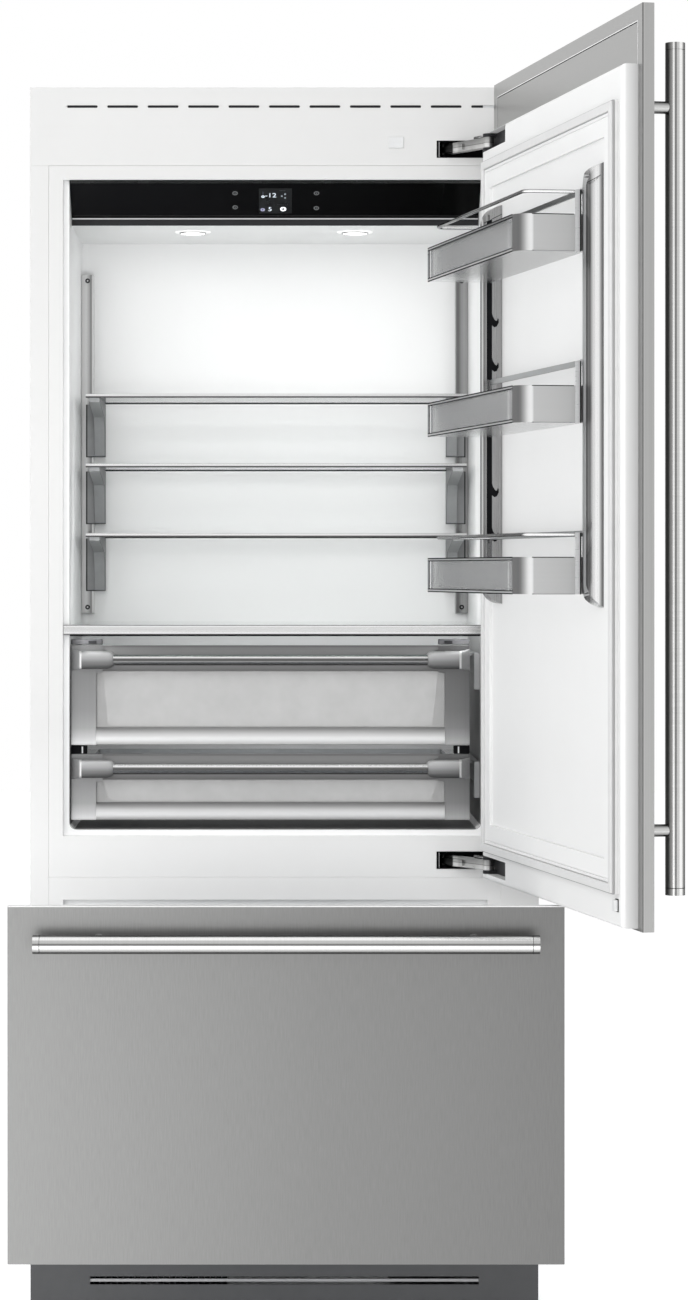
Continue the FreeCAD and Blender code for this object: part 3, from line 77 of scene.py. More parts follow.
# ---- materials
class Graph:
    # the shader nodes of a material, or of the world
    def __init__(self, name, world=None):
        self.owner = world or bpy.data.materials.new(name)
        self.owner.use_nodes = True
        self.tree = self.owner.node_tree
        self.tree.nodes.clear()
        self.end = self.tree.nodes.new("ShaderNodeOutputWorld" if world else "ShaderNodeOutputMaterial")

    def add(self, kind, inputs=None, **settings):
        node = self.tree.nodes.new(kind)
        for key, value in settings.items():
            setattr(node, key, value)
        for key, value in (inputs or {}).items():
            if isinstance(value, bpy.types.NodeSocket):
                self.tree.links.new(value, node.inputs[key])
            else:
                node.inputs[key].default_value = value
        return node

    def noise(self, scale, stretch=(1, 1, 1), detail=3.0, rough=0.55):
        place = self.add("ShaderNodeTexCoord")
        mapped = self.add("ShaderNodeMapping", {"Vector": place.outputs["Object"], "Scale": stretch})
        settings = {"Vector": mapped.outputs["Vector"], "Scale": scale, "Detail": detail, "Roughness": rough}
        return self.add("ShaderNodeTexNoise", settings).outputs["Fac"]

    def part(self, axis, kind="Object"):
        place = self.add("ShaderNodeTexCoord")
        return self.add("ShaderNodeSeparateXYZ", {"Vector": place.outputs[kind]}).outputs[axis]

    def span(self, value, low, high, start=0.0, end=1.0):
        # value runs from low to high, the result from start to end
        inputs = {"Value": value, "From Min": low, "From Max": high, "To Min": start, "To Max": end}
        return self.add("ShaderNodeMapRange", inputs).outputs["Result"]

    def between(self, factor, low, high):
        # noise stays mostly between these two values
        return self.span(factor, 0.25, 0.75, low, high)

    def math(self, how, *values):
        return self.add("ShaderNodeMath", dict(enumerate(values)), operation=how).outputs[0]

    def blend(self, factor, a, b):
        ends = {"Factor": factor, 6: (*a, 1), 7: (*b, 1)}
        return self.add("ShaderNodeMix", ends, data_type="RGBA").outputs[2]

    def ramp(self, value, stops):
        # stops are (position, colour), in rising order
        first, last = stops[0][0], stops[-1][0]
        node = self.add("ShaderNodeValToRGB", {"Fac": self.span(value, first, last)})
        line = node.color_ramp
        while len(line.elements) < len(stops):
            line.elements.new(0.5)
        for element, (at, colour) in zip(line.elements, stops):
            element.position = (at - first) / (last - first)
            element.color = (*colour, 1)
        return node.outputs[0]

    def multiply(self, base, value, stops):
        # darkens base by a ramp of (position, brightness) stops over value
        ramp = self.ramp(value, [(at, (bright,) * 3) for at, bright in stops])
        ends = {"Factor": 1.0, 6: base, 7: ramp}
        return self.add("ShaderNodeMix", ends, data_type="RGBA", blend_type="MULTIPLY").outputs[2]

    def around(self, axis):
        # the angle of the surface round an axis, in degrees: 0 faces the front
        front = self.math("MULTIPLY", self.part("Y", "Normal"), -1.0)
        side = self.part("X" if axis == "Z" else "Z", "Normal")
        return self.math("DEGREES", self.math("ARCTAN2", side, front))

    def seen(self):
        # 1 for what the camera, metal and glass show as the background
        rays = self.add("ShaderNodeLightPath").outputs
        shown = rays["Is Camera Ray"]
        for ray in ("Is Glossy Ray", "Is Transmission Ray"):
            shown = self.math("MAXIMUM", shown, rays[ray])
        return shown

    def mix(self, factor, a, b):
        return self.add("ShaderNodeMixShader", {0: factor, 1: a, 2: b}).outputs[0]

    def principled(self, inputs):
        return self.add("ShaderNodeBsdfPrincipled", inputs).outputs["BSDF"]

    def finish(self, shader):
        self.tree.links.new(shader, self.end.inputs["Surface"])
        return self.owner


def tone(colour, amount):
    return tuple(min(max(c * amount, 0.0), 1.0) for c in colour)


def shade(
    name, colour, rough, metal=0.0, scale=60.0, stretch=(1, 1, 1), vary=0.05, rough_vary=0.05, bump=0.05,
    depth=0.0002, fine=None, anisotropic=0.0, bands=None, x=None, z=None, rim=None, spec=0.5,
):
    # painted light and shade: bands are stops by the angle round an axis, x and z by place in mm, rim by the facing of
    # the surface
    g = Graph(name)
    wide = g.noise(scale, stretch)
    base = g.blend(g.between(wide, 0.0, 1.0), tone(colour, 1 - vary), tone(colour, 1 + vary))
    if bands:
        base = g.multiply(base, g.around(bands[0]), bands[1])
    for axis, stops in (("X", x), ("Z", z)):
        if stops:
            base = g.multiply(base, g.part(axis), [(at * MM, bright) for at, bright in stops])
    if rim:
        base = g.multiply(base, g.add("ShaderNodeLayerWeight", {"Blend": 0.5}).outputs["Facing"], rim)
    height = g.noise(fine or scale * 4, stretch, 2.0)
    relief = g.add("ShaderNodeBump", {"Height": height, "Strength": bump, "Distance": depth})
    return g.finish(g.principled({
        "Base Color": base, "Roughness": g.between(wide, max(rough - rough_vary, 0.02), min(rough + rough_vary, 1.0)),
        "Metallic": metal, "Normal": relief.outputs["Normal"], "Anisotropic": anisotropic, "Specular IOR Level": spec,
    }))


def grain(name, colour, rough, scale, vary, bump, fine, **more):
    # paint, plastic or rubber: scale and vary for its tone, bump and fine for its grain
    return shade(name, colour, rough, scale=scale, vary=vary, bump=bump, fine=fine, **more)


def brushed(name, colour, rough, stretch, metal=1.0, **more):
    # sheet or bar with brush lines, long where stretch is small
    return shade(name, colour, rough, metal, stretch=stretch, **{**BRUSH, **more})


def see_through(name, tint, body, solid, rough, ior=1.45, bump=0.02, scale=30.0):
    # solid is the cloudy share, in the colour body, and light passes as tint
    g = Graph(name)
    height = g.noise(scale, (1, 1, 1), 2.0)
    normal = g.add("ShaderNodeBump", {"Height": height, "Strength": bump, "Distance": 0.0002}).outputs["Normal"]
    clear = g.add("ShaderNodeBsdfTransparent", {"Color": (*tint, 1)})
    cloudy = g.principled({
        "Base Color": g.blend(g.between(height, 0, 1), tone(body, 0.94), tone(body, 1.06)),
        "Roughness": g.between(height, max(rough - 0.03, 0.02), rough + 0.03), "Normal": normal,
    })
    shine = g.add("ShaderNodeBsdfGlossy", {"Color": (1, 1, 1, 1), "Roughness": rough, "Normal": normal})
    edge = g.add("ShaderNodeFresnel", {"IOR": ior, "Normal": normal})
    seen = g.mix(edge.outputs[0], g.mix(solid, clear.outputs[0], cloudy), shine.outputs[0])
    path = g.add("ShaderNodeLightPath")
    light = g.add("ShaderNodeBsdfTransparent", {"Color": (*tone(tint, 1.03), 1)})
    return g.finish(g.mix(path.outputs["Is Shadow Ray"], seen, light.outputs[0]))


def glow(name, colour, strength):
    g = Graph(name)
    light = g.blend(g.between(g.noise(220.0), 0, 1), tone(colour, 0.93), colour)
    look = {"Base Color": light, "Roughness": 0.35, "Emission Color": light, "Emission Strength": strength}
    return g.finish(g.principled(look))


def black_glass():
    g = Graph("control_black_glass")
    # painted reflection: the glass is a little lighter at its left end and darker to the right
    base = g.blend(g.span(g.part("X"), -0.37, 0.30), (0.009, 0.009, 0.010), (0.0015, 0.0015, 0.0015))
    smear = g.between(g.noise(14.0, (1, 1, 1), 4.0), 0.05, 0.12)
    return g.finish(g.principled({"Base Color": base, "Roughness": smear, "IOR": 1.46, "Specular IOR Level": 0.04}))


HANDLE_DROP = 25.4  # from a crisper's upper edge down to the middle of its handle
LIGHT_XS = (-164, 128)
LIGHT_Y = 190
LETTER_HALF = 0.00012
WELD = 1e-6
HANDLE_RING = [(0, 14.9), (0.6, 14.96), (1.2, 14.9)]
VENT_SLOTS, VENT_PITCH, VENT_HALF = 11, 70.65, 27
FLANGE_Y = 0.0008
# where the paint of a piece changes, with the drawer as pulled out and the door as shut
DRAWER_BAR_BACK, DOOR_BAR_BACK = -511.4, -93.5
PANEL_END, BODY_END, BODY_FRONT = -448.3, -428.2, -39.5
FLAT = math.radians(0.6)
SATIN = (0.95, 0.95, 0.95)
SATIN_COOL = (0.95, 0.955, 0.96)
# how far the grain stretches along X, Y and Z: a small value draws it out
UPRIGHT = (1, 1, 0.004)
LEVEL = (0.004, 1, 1)
BRUSH = dict(scale=420, vary=0.04, rough_vary=0.04, bump=0.06, depth=0.0001, fine=900)
PANEL_BRUSH = dict(scale=600, vary=0.075, rough_vary=0.05, bump=0.07, depth=0.0001, fine=700)
SHORT_UPRIGHT = (1, 1, 0.06)
ROUND_UP = (0.004, 0.004, 1)
ROUND_ACROSS = (1, 0.004, 0.004)
# painted reflections on the handle bars: dark and bright stripes by the angle round the bar
PAINTED_REFLECTION_UP = [
    (-180, 0.35), (-150, 0.14), (-120, 0.45), (-97, 0.03), (-78, 0.02), (-58, 0.04), (-44, 0.24), (-30, 0.62),
    (-17, 0.96), (-11, 0.80), (-6, 0.18), (0, 0.18), (5, 0.58), (14, 0.58), (24, 0.96), (34, 0.94), (45, 0.36),
    (57, 0.05), (76, 0.04), (100, 0.30), (140, 0.12), (180, 0.35)
]
PAINTED_REFLECTION_ACROSS = [
    (-180, 0.30), (-140, 0.12), (-100, 0.25), (-76, 0.05), (-60, 0.08), (-45, 0.26), (-30, 0.55), (-18, 0.92),
    (-8, 0.98), (-2, 0.46), (3, 0.15), (8, 0.24), (14, 0.54), (28, 0.58), (36, 0.96), (52, 0.94), (64, 0.14),
    (80, 0.06), (110, 0.30), (150, 0.15), (180, 0.30)
]
# painted reflection and shade round the curved metal band of the door bins
BAND_PAINTED_REFLECTION = [
    (-180, 0.40), (-100, 0.16), (-80, 0.16), (-50, 0.18), (-40, 0.17), (-32, 0.21), (-21, 0.41), (-14, 0.60),
    (-7, 0.78), (0, 0.86), (4, 0.84), (7, 0.68), (9, 0.50), (14, 0.48), (60, 0.40), (180, 0.40)
]
# painted shade and highlight lines across the far door column
FAR_COLUMN_PAINTED_SHINE = [
    (322, 0.10), (326, 0.10), (327.5, 0.04), (329.5, 0.04), (330.3, 0.30), (331.0, 0.78), (332.2, 0.60),
    (333.2, 0.25), (336, 0.26), (337.6, 0.42), (340, 0.38), (365, 0.37)
]
# painted light: the front white is lighter low down and darker towards the top
WHITE = grain(
    "painted_white", (0.86, 0.86, 0.855), 0.42, 9, 0.008, 0.05, 420, rough_vary=0.04,
    z=[(700, 1.0), (800, 1.0), (1000, 0.88), (1500, 0.87), (1950, 0.80), (2125, 0.80)]
)
SKIN = grain("outer_skin", (0.64, 0.65, 0.66), 0.45, 5, 0.03, 0.12, 260, rough_vary=0.05)
FOAM = grain("wall_core", (0.70, 0.70, 0.68), 0.7, 25, 0.05, 0.2, 160, depth=0.0006)
# painted shade: the liner is a little darker towards the ceiling
LINER = grain(
    "liner_plastic", (0.95, 0.952, 0.952), 0.40, 6, 0.01, 0.02, 600, rough_vary=0.03, spec=0.4,
    z=[(1150, 1.0), (1450, 0.99), (1650, 0.93), (2000, 0.93)]
)
DOOR_WHITE = grain("door_plastic", (0.83, 0.832, 0.83), 0.5, 6, 0.01, 0.02, 900, rough_vary=0.02, spec=0.3)
# painted shade: the door body's end face darkens across its rounded edge
DOOR_END = grain(
    "door_plastic_end_shaded", (0.84, 0.84, 0.84), 0.5, 6, 0.01, 0.02, 900, rough_vary=0.02, spec=0.3,
    x=[(493, 1.0), (501, 0.98), (503, 0.86), (512, 0.72), (521, 0.58)]
)
# painted reflection: the drawer front is lighter at its left end and darker to the right
STEEL_DRAWER = brushed(
    "steel_drawer_painted_reflection", (0.335, 0.335, 0.331), 0.33, SHORT_UPRIGHT, anisotropic=0.4,
    x=[(-448.5, 1.0), (-150, 0.83), (60, 0.72), (448.5, 0.60)], **PANEL_BRUSH
)
STEEL_DOOR = brushed("steel_door", (0.42, 0.42, 0.415), 0.33, SHORT_UPRIGHT, anisotropic=0.4, **PANEL_BRUSH)
# painted shadow line and highlight along the door panel's end face
STEEL_END = brushed(
    "steel_door_end_shadow_highlight", (0.43, 0.43, 0.425), 0.33, UPRIGHT, anisotropic=0.4,
    x=[(524.0, 0.30), (525.9, 0.30), (526.5, 1.1), (529, 1.0), (544, 1.0)]
)
STEEL_BAR = brushed("steel_bar_up", (0.95, 0.95, 0.94), 0.20, ROUND_UP, bands=("Z", PAINTED_REFLECTION_UP))
STEEL_BAR_X = brushed("steel_bar_across", (0.95, 0.95, 0.94), 0.20, ROUND_ACROSS, bands=("X", PAINTED_REFLECTION_ACROSS))
# painted shade: the handle standoffs darken towards edges that turn away
STEEL_POST = brushed(
    "steel_post", (0.90, 0.90, 0.89), 0.22, ROUND_UP,
    rim=[(0.0, 0.80), (0.06, 0.62), (0.18, 0.34), (0.35, 0.14), (0.6, 0.04), (1.0, 0.03)]
)
SATIN_X = brushed("satin_across", (0.46, 0.465, 0.47), 0.30, LEVEL)
SATIN_Z = brushed("satin_upright", (0.46, 0.465, 0.47), 0.30, UPRIGHT)
SATIN_BAND = brushed(
    "satin_band", (0.95, 0.955, 0.955), 0.30, ROUND_UP, vary=0.012, rough_vary=0.02, bump=0.02, bands=("Z", BAND_PAINTED_REFLECTION)
)
# painted reflections round the crisper handle tubes
TUBE_PAINTED_REFLECTION = [
    (-180, 0.20), (-90, 0.05), (-60, 0.06), (-45, 0.10), (-30, 0.32), (-20, 0.38), (-10, 0.16), (0, 0.08), (10, 0.12),
    (20, 0.36), (30, 0.80), (40, 1.0), (64, 0.96), (76, 0.30), (90, 0.12), (180, 0.20)
]
STEEL_TUBE = brushed("steel_tube", (0.97, 0.97, 0.965), 0.22, ROUND_ACROSS, bands=("X", TUBE_PAINTED_REFLECTION))
# the far column's flank: not metal, so its painted shade and highlight lines show as they are
FLANK_FAR = brushed("satin_flank_far", (0.80, 0.80, 0.80), 0.5, UPRIGHT, metal=0.0, spec=0.05, x=FAR_COLUMN_PAINTED_SHINE)
# painted highlight for edges and tops that catch the light
EDGE_HIGHLIGHT = shade("painted_highlight_edge", (0.90, 0.90, 0.90), 0.4, 0.3, 300, vary=0.03, bump=0.03, fine=700)
# painted reflection bands across the near door column's rounded flank
SATIN_FLANK = brushed(
    "satin_flank", SATIN, 0.28, UPRIGHT, x=[(444, 0.04), (449.5, 0.05), (451.5, 0.12), (453.5, 0.22), (454.6, 0.10),
    (456, 0.32), (459, 0.64), (463, 0.88), (467, 0.84), (468.8, 0.58), (470.5, 0.32), (472.5, 0.21), (475.5, 0.21),
    (477, 0.45), (479.5, 0.95)]
)
SATIN_FLAT = brushed("satin_flat", SATIN, 0.28, UPRIGHT, x=FAR_COLUMN_PAINTED_SHINE)
# painted highlight and shade bands across the shelf rails
RAIL_LEFT = brushed(
    "satin_rail_left", SATIN, 0.30, UPRIGHT, x=[(-376, 0.56), (-366, 0.66), (-361, 0.44), (-357, 0.22),
    (-355.5, 0.66), (-352, 0.62)]
)
RAIL_RIGHT = brushed(
    "satin_rail_right", SATIN, 0.30, UPRIGHT, x=[(320, 0.58), (322.5, 0.20), (326, 0.18), (331, 0.34), (336, 0.42),
    (344, 0.38)]
)
# painted shade: wire and link darken towards edges that turn away
WIRE = shade(
    "polished_wire", (0.92, 0.92, 0.92), 0.18, 1.0, 300, vary=0.04, bump=0.03,
    rim=[(0.0, 0.95), (0.2, 0.85), (0.42, 0.22), (0.7, 0.05), (1.0, 0.04)]
)
# one satin strip in a darker and a lighter copy: painted shade and painted light
STRIP = brushed("satin_strip", (0.34, 0.345, 0.35), 0.30, LEVEL)
STRIP_LIGHT = brushed("satin_strip_light", (0.66, 0.665, 0.67), 0.30, LEVEL)
CAST = shade("cast_metal", (0.42, 0.42, 0.415), 0.38, 1.0, 90, vary=0.08, rough_vary=0.08, bump=0.25, fine=500)


# painted highlights and shade on a hinge arm: bright and dark bands by height, a dark part and bright parts across
def cast_arm(name, low):
    return shade(
        name, (0.86, 0.86, 0.85), 0.34, 1.0, 90, vary=0.07, rough_vary=0.08, bump=0.22, fine=500,
        z=[(low, 0.50), (low + 2, 0.92), (low + 7.5, 0.80), (low + 8.5, 0.26), (low + 9.5, 0.58), (low + 18, 0.40)],
        x=[(270, 0.03), (292.5, 0.03), (294, 1.0), (300, 1.0), (303, 0.72), (325, 0.72), (345, 1.0), (370, 1.0)]
    )


ARM_TOP = cast_arm("cast_arm_top", 2008)
ARM_BOTTOM = cast_arm("cast_arm_bottom", 766)
ZINC = shade("zinc_sheet", (0.50, 0.51, 0.52), 0.40, 0.9, 35, vary=0.16, rough_vary=0.12, bump=0.06, fine=300)
RUBBER = grain("seal_rubber_grey", (0.60, 0.60, 0.595), 0.62, 40, 0.04, 0.15, 700)
RUBBER_LIGHT = grain("seal_rubber_light", (0.70, 0.70, 0.70), 0.55, 40, 0.03, 0.12, 700)
RUBBER_CHANNEL_SHADE = grain("seal_rubber_channel_shade", (0.34, 0.34, 0.34), 0.6, 40, 0.05, 0.12, 700)
DARK = grain("dark_plastic_grain", (0.020, 0.020, 0.022), 0.48, 60, 0.15, 0.2, 900, spec=0.2)
# near black for painted shade: sheets and lines set in gaps, slots, pockets and seams where shade falls
SHADE = grain("painted_shade_dark", (0.007, 0.007, 0.008), 0.6, 60, 0.15, 0.2, 900, spec=0.04)
SLIDE = grain("slide_grey_grain", (0.36, 0.365, 0.37), 0.40, 60, 0.05, 0.12, 900)
PALE = grain("pale_plastic_grain", (0.70, 0.705, 0.71), 0.42, 60, 0.03, 0.1, 900)
ENAMEL = grain("black_enamel_paint", (0.016, 0.016, 0.017), 0.32, 30, 0.2, 0.2, 300)
COIL = shade("coil_fins", (0.50, 0.51, 0.52), 0.34, 1.0, 300, UPRIGHT, 0.08, 0.06, 0.1, 0.0002)
COPPER = shade("copper_tube", (0.72, 0.38, 0.24), 0.30, 1.0, 60, vary=0.14, rough_vary=0.1, bump=0.05)
PLINTH = grain("plinth_paint", (0.070, 0.071, 0.074), 0.42, 40, 0.08, 0.1, 700)
PLINTH_BAR = grain("plinth_bar_paint", (0.42, 0.42, 0.425), 0.36, 40, 0.08, 0.1, 700)
FAN = grain("fan_plastic", (0.018, 0.018, 0.019), 0.40, 80, 0.12, 0.08, 900)
# painted shade: grey, darkest near the floor, for the shadow round the crispers
CAVITY_SHADE = grain(
    "cavity_shade_sheet", (0.9, 0.9, 0.9), 0.5, 40, 0.06, 0.1, 500,
    z=[(828, 0.22), (832, 0.20), (838, 0.13), (900, 0.14), (1000, 0.19), (1070, 0.24), (1120, 0.40), (1168, 0.60)]
)


# painted shade for the flared ends of the crisper handle sleeves, and a painted highlight arc next to them
SLEEVE_END_SHADE = shade("crisper_sleeve_end", (0.36, 0.36, 0.365), 0.42, 0.1, 300, vary=0.10, bump=0.15, fine=700)
SLEEVE_DARK = grain("bracket_dark_grey", (0.10, 0.10, 0.105), 0.5, 60, 0.15, 0.2, 900, spec=0.2)
SLEEVE_ARC_HIGHLIGHT = shade("crisper_sleeve_arc", (0.86, 0.86, 0.86), 0.35, 0.4, 300, vary=0.04, bump=0.05, fine=700)


def crisper_metals(label, low, high):
    # satin sheet with painted light and shade: end plates painted brighter towards their lower edge and darker at the
    # right, a bulged lower rail with a painted highlight band, and handle sleeves painted in bands by height
    plate_shade_z = [(low, 0.62), (low + 4, 0.76), (low + 14, 0.60), (low + 30, 0.40), (low + 60, 0.31), (high, 0.22)]
    plate_shade_x = [(-380, 1.0), (250, 1.0), (260, 0.60), (345, 0.60)]
    rail_shine_z = [
        (low, 0.60), (low + 1.2, 0.70), (low + 2, 1.0), (low + 10, 1.0), (low + 16, 0.66), (low + 24, 0.40),
        (low + 30, 0.24), (low + 31, 0.20), (high - 45, 0.13), (high - 38, 0.24), (high - 20, 0.28),
        (high - 4, 0.20), (high - 2, 0.11), (high, 0.20)
    ]
    plates = brushed("crisper_plate_" + label, SATIN_COOL, 0.34, UPRIGHT, metal=0.8, x=plate_shade_x, z=plate_shade_z)
    rails = brushed("crisper_rail_" + label, (1.0, 1.0, 1.0), 0.42, LEVEL, metal=0.2, z=rail_shine_z)
    middle = high - HANDLE_DROP
    sleeve_shade_z = [
        (middle - 21, 0.12), (middle - 15.4, 0.04), (middle - 13, 0.10), (middle - 9, 0.14), (middle - 3, 0.21),
        (middle + 3, 0.36), (middle + 9, 0.47), (middle + 13, 0.58), (middle + 15, 0.40), (middle + 21, 0.2)
    ]
    sleeves = brushed("crisper_sleeve_" + label, SATIN_COOL, 0.40, LEVEL, metal=0.2, z=sleeve_shade_z, spec=0.25)
    return plates, rails, sleeves


PANE = see_through("shelf_pane", (0.90, 0.94, 0.93), (0.55, 0.60, 0.60), 0.05, 0.04, 1.5)
PANE_EDGE = see_through("pane_edge", (0.45, 0.56, 0.53), (0.32, 0.40, 0.38), 0.75, 0.12, 1.5)
CLEAR = see_through("bin_plastic", (0.972, 0.974, 0.976), (0.70, 0.705, 0.71), 0.09, 0.22, 1.14, bump=0.0)
FROST = see_through("frosted_window", (0.88, 0.88, 0.88), (0.66, 0.66, 0.655), 0.30, 0.40)
TUB = see_through("crisper_tub_plastic", (0.82, 0.84, 0.85), (0.66, 0.67, 0.68), 0.45, 0.22)
WIREY = see_through("freezer_plastic", (0.84, 0.87, 0.90), (0.72, 0.75, 0.79), 0.42, 0.16)
TUB_FRONT = grain("tub_front_frosted", (0.86, 0.86, 0.86), 0.4, 8, 0.02, 0.05, 200)
TUB_MARGIN_SHADE = grain("tub_margin_shade", (0.44, 0.44, 0.44), 0.4, 8, 0.02, 0.05, 200)
LENS = glow("light_lens_glow", (1.0, 0.99, 0.97), 5.0)
# painted light: a faint glowing ring on the ceiling round each lamp
HALO = glow("light_halo_glow", (1.0, 1.0, 0.99), 0.35)
DIGITS = glow("display_light", (0.80, 0.88, 0.96), 0.35)
RING = glow("display_ring_light", (0.95, 0.97, 1.0), 1.2)
FROSTY = glow("display_cold_light", (0.42, 0.42, 0.60), 0.12)
MARKS = glow("touch_marks", (0.16, 0.165, 0.17), 0.02)
BEVEL_LINE = shade("glass_bevel_grey", (0.012, 0.012, 0.012), 0.25, scale=30, vary=0.1)


GLASS_BLACK = black_glass()


# the slot named for each material's pieces, the others being satin_trim; add_piece works it out but keeps it nowhere
SLOTS = {
    "foam_filled_wall": (SKIN, DOOR_WHITE), "galvanised_sheet": (ZINC,), "white_front": (WHITE,),
    "white_liner": (LINER,), "dark_plastic": (DARK, SHADE, CAVITY_SHADE), "grey_plastic": (PALE, SLEEVE_DARK, SLIDE),
    "black_glass": (GLASS_BLACK,), "light_lens": (LENS, HALO), "clear_glass": (PANE,),
    "clear_plastic": (CLEAR, FROST, TUB, TUB_FRONT, TUB_MARGIN_SHADE), "steel_bar": (STEEL_BAR, STEEL_BAR_X, STEEL_TUBE),
    "steel_front": (STEEL_DRAWER, STEEL_DOOR, EDGE_HIGHLIGHT), "seal_rubber": (RUBBER, RUBBER_LIGHT, RUBBER_CHANNEL_SHADE),
    "freezer_wire_plastic": (WIREY,), "cast_hinge": (CAST, ARM_TOP, ARM_BOTTOM), "plinth_steel": (PLINTH, PLINTH_BAR),
    "black_enamel": (ENAMEL,), "copper_pipe": (COPPER,),
}
SLOT_OF = {one.name: slot for slot, some in SLOTS.items() for one in some}


# ---- mesh helpers
def add_piece(
    name, data, material, body, bevel=0.0, steps=2, sharp=35.0, stands_for=(), place=None, tidy=True, weld=True,
    slot=None,
):
    # data is (points in metres, faces), and what rides on the door is drawn with the door shut
    if place is None:
        place = OPENED if body.startswith("door") else HERE
    verts, faces = data
    mesh = bpy.data.meshes.new(name)
    mesh.from_pydata([tuple(v) for v in verts], [], [tuple(f) for f in faces])
    work = bmesh.new()
    work.from_mesh(mesh)
    if weld:
        bmesh.ops.remove_doubles(work, verts=work.verts, dist=WELD)
    if tidy:
        bmesh.ops.dissolve_limit(work, angle_limit=FLAT, verts=work.verts, edges=work.edges)
    bmesh.ops.recalc_face_normals(work, faces=work.faces)
    work.transform(place)
    work.to_mesh(mesh)
    work.free()
    mesh.polygons.foreach_set("use_smooth", [True] * len(mesh.polygons))
    mesh.set_sharp_from_angle(angle=math.radians(sharp))
    materials = material if isinstance(material, (list, tuple)) else [material]
    for m in materials:
        mesh.materials.append(m)
    piece = bpy.data.objects.new(name, mesh)
    bpy.context.collection.objects.link(piece)
    if bevel:
        soft = piece.modifiers.new("edge", "BEVEL")
        soft.width = bevel * MM
        soft.segments = steps
        soft.limit_method = "ANGLE"
        soft.angle_limit = math.radians(sharp)
        soft.harden_normals = True
        soft.use_clamp_overlap = True
    slot = slot or SLOT_OF.get(materials[0].name, "satin_trim")
    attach(piece, body)
    if stands_for:
        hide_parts(*stands_for)
    return piece


def box_data(x0, x1, y0, y1, z0, z1):
    verts = [Vector((x, y, z)) * MM for z in (z0, z1) for x, y in ((x0, y0), (x1, y0), (x1, y1), (x0, y1))]
    return verts, [(3, 2, 1, 0), (4, 5, 6, 7), (0, 1, 5, 4), (1, 2, 6, 5), (2, 3, 7, 6), (3, 0, 4, 7)]


def block(name, box, material, body, bevel=0.5, slot=None):
    return add_piece(name, box_data(*box), material, body, bevel, 3, slot=slot)


def loft(rings, closed_ends=True):
    count = len(rings[0])
    faces = []
    for r in range(len(rings) - 1):
        for i in range(count):
            j = (i + 1) % count
            faces.append((r * count + i, r * count + j, (r + 1) * count + j, (r + 1) * count + i))
    if closed_ends:
        faces.append(tuple(reversed(range(count))))
        faces.append(tuple((len(rings) - 1) * count + i for i in range(count)))
    return [v for ring in rings for v in ring], faces


def turned_data(start, direction, profile, sides):
    # profile is a list of (distance along, radius), in millimetres
    d = Vector(direction).normalized()
    a = d.orthogonal().normalized()
    b = d.cross(a).normalized()
    rings = []
    for far, r in profile:
        centre = Vector(start) + d * far
        ring = []
        for i in range(sides):
            t = 2 * math.pi * i / sides
            ring.append((centre + a * (r * math.cos(t)) + b * (r * math.sin(t))) * MM)
        rings.append(ring)
    return loft(rings)


def round_piece(name, start, direction, profile, material, body, sides=32, stands_for=(), slot=None):
    data = turned_data(start, direction, profile, sides)
    return add_piece(name, data, material, body, 0, 2, 38.0, stands_for, tidy=False, slot=slot)


def hoop_data(profile, sides, x=0.0, y=0.0):
    # a ring round an upright axis, its section given as (radius, height)
    turns = [2 * math.pi * i / sides for i in range(sides)]
    rings = [
        [Vector((x + r * math.cos(t), y + r * math.sin(t), h)) * MM for t in turns] for r, h in (*profile, profile[0])
    ]
    return loft(rings, closed_ends=False)


def rounded_loop(x0, x1, z0, z1, r, steps=6):
    points = []
    for cx, cz, start in ((x1 - r, z1 - r, 0), (x0 + r, z1 - r, 90), (x0 + r, z0 + r, 180), (x1 - r, z0 + r, 270)):
        for i in range(steps + 1):
            t = math.radians(start + 90 * i / steps)
            points.append((cx + r * math.cos(t), cz + r * math.sin(t)))
    return points


def curve_mesh(curve):
    holder = bpy.data.objects.new("outline", curve)
    bpy.context.collection.objects.link(holder)
    bpy.context.view_layer.update()
    mesh = bpy.data.meshes.new_from_object(holder)
    data = [v.co.copy() for v in mesh.vertices], [tuple(p.vertices) for p in mesh.polygons]
    bpy.data.objects.remove(holder)
    bpy.data.meshes.remove(mesh)
    bpy.data.curves.remove(curve)
    return data


def plate_data(loops, low, high):
    # flat plate in the XZ plane with holes, between the depths low and high
    curve = bpy.data.curves.new("flat", "CURVE")
    curve.dimensions = "2D"
    curve.fill_mode = "BOTH"
    for points in loops:
        line = curve.splines.new("POLY")
        line.points.add(len(points) - 1)
        for p, (x, z) in zip(line.points, points):
            p.co = (x * MM, z * MM, 0, 1)
        line.use_cyclic_u = True
    curve.extrude = (high - low) / 2 * MM
    verts, faces = curve_mesh(curve)
    mid = (low + high) / 2 * MM
    return [Vector((v.x, mid - v.z, v.y)) for v in verts], faces


def plate(name, loops, low, high, material, body, bevel=0.4, stands_for=(), slot=None):
    return add_piece(name, plate_data(loops, low, high), material, body, bevel, stands_for=stands_for, slot=slot)


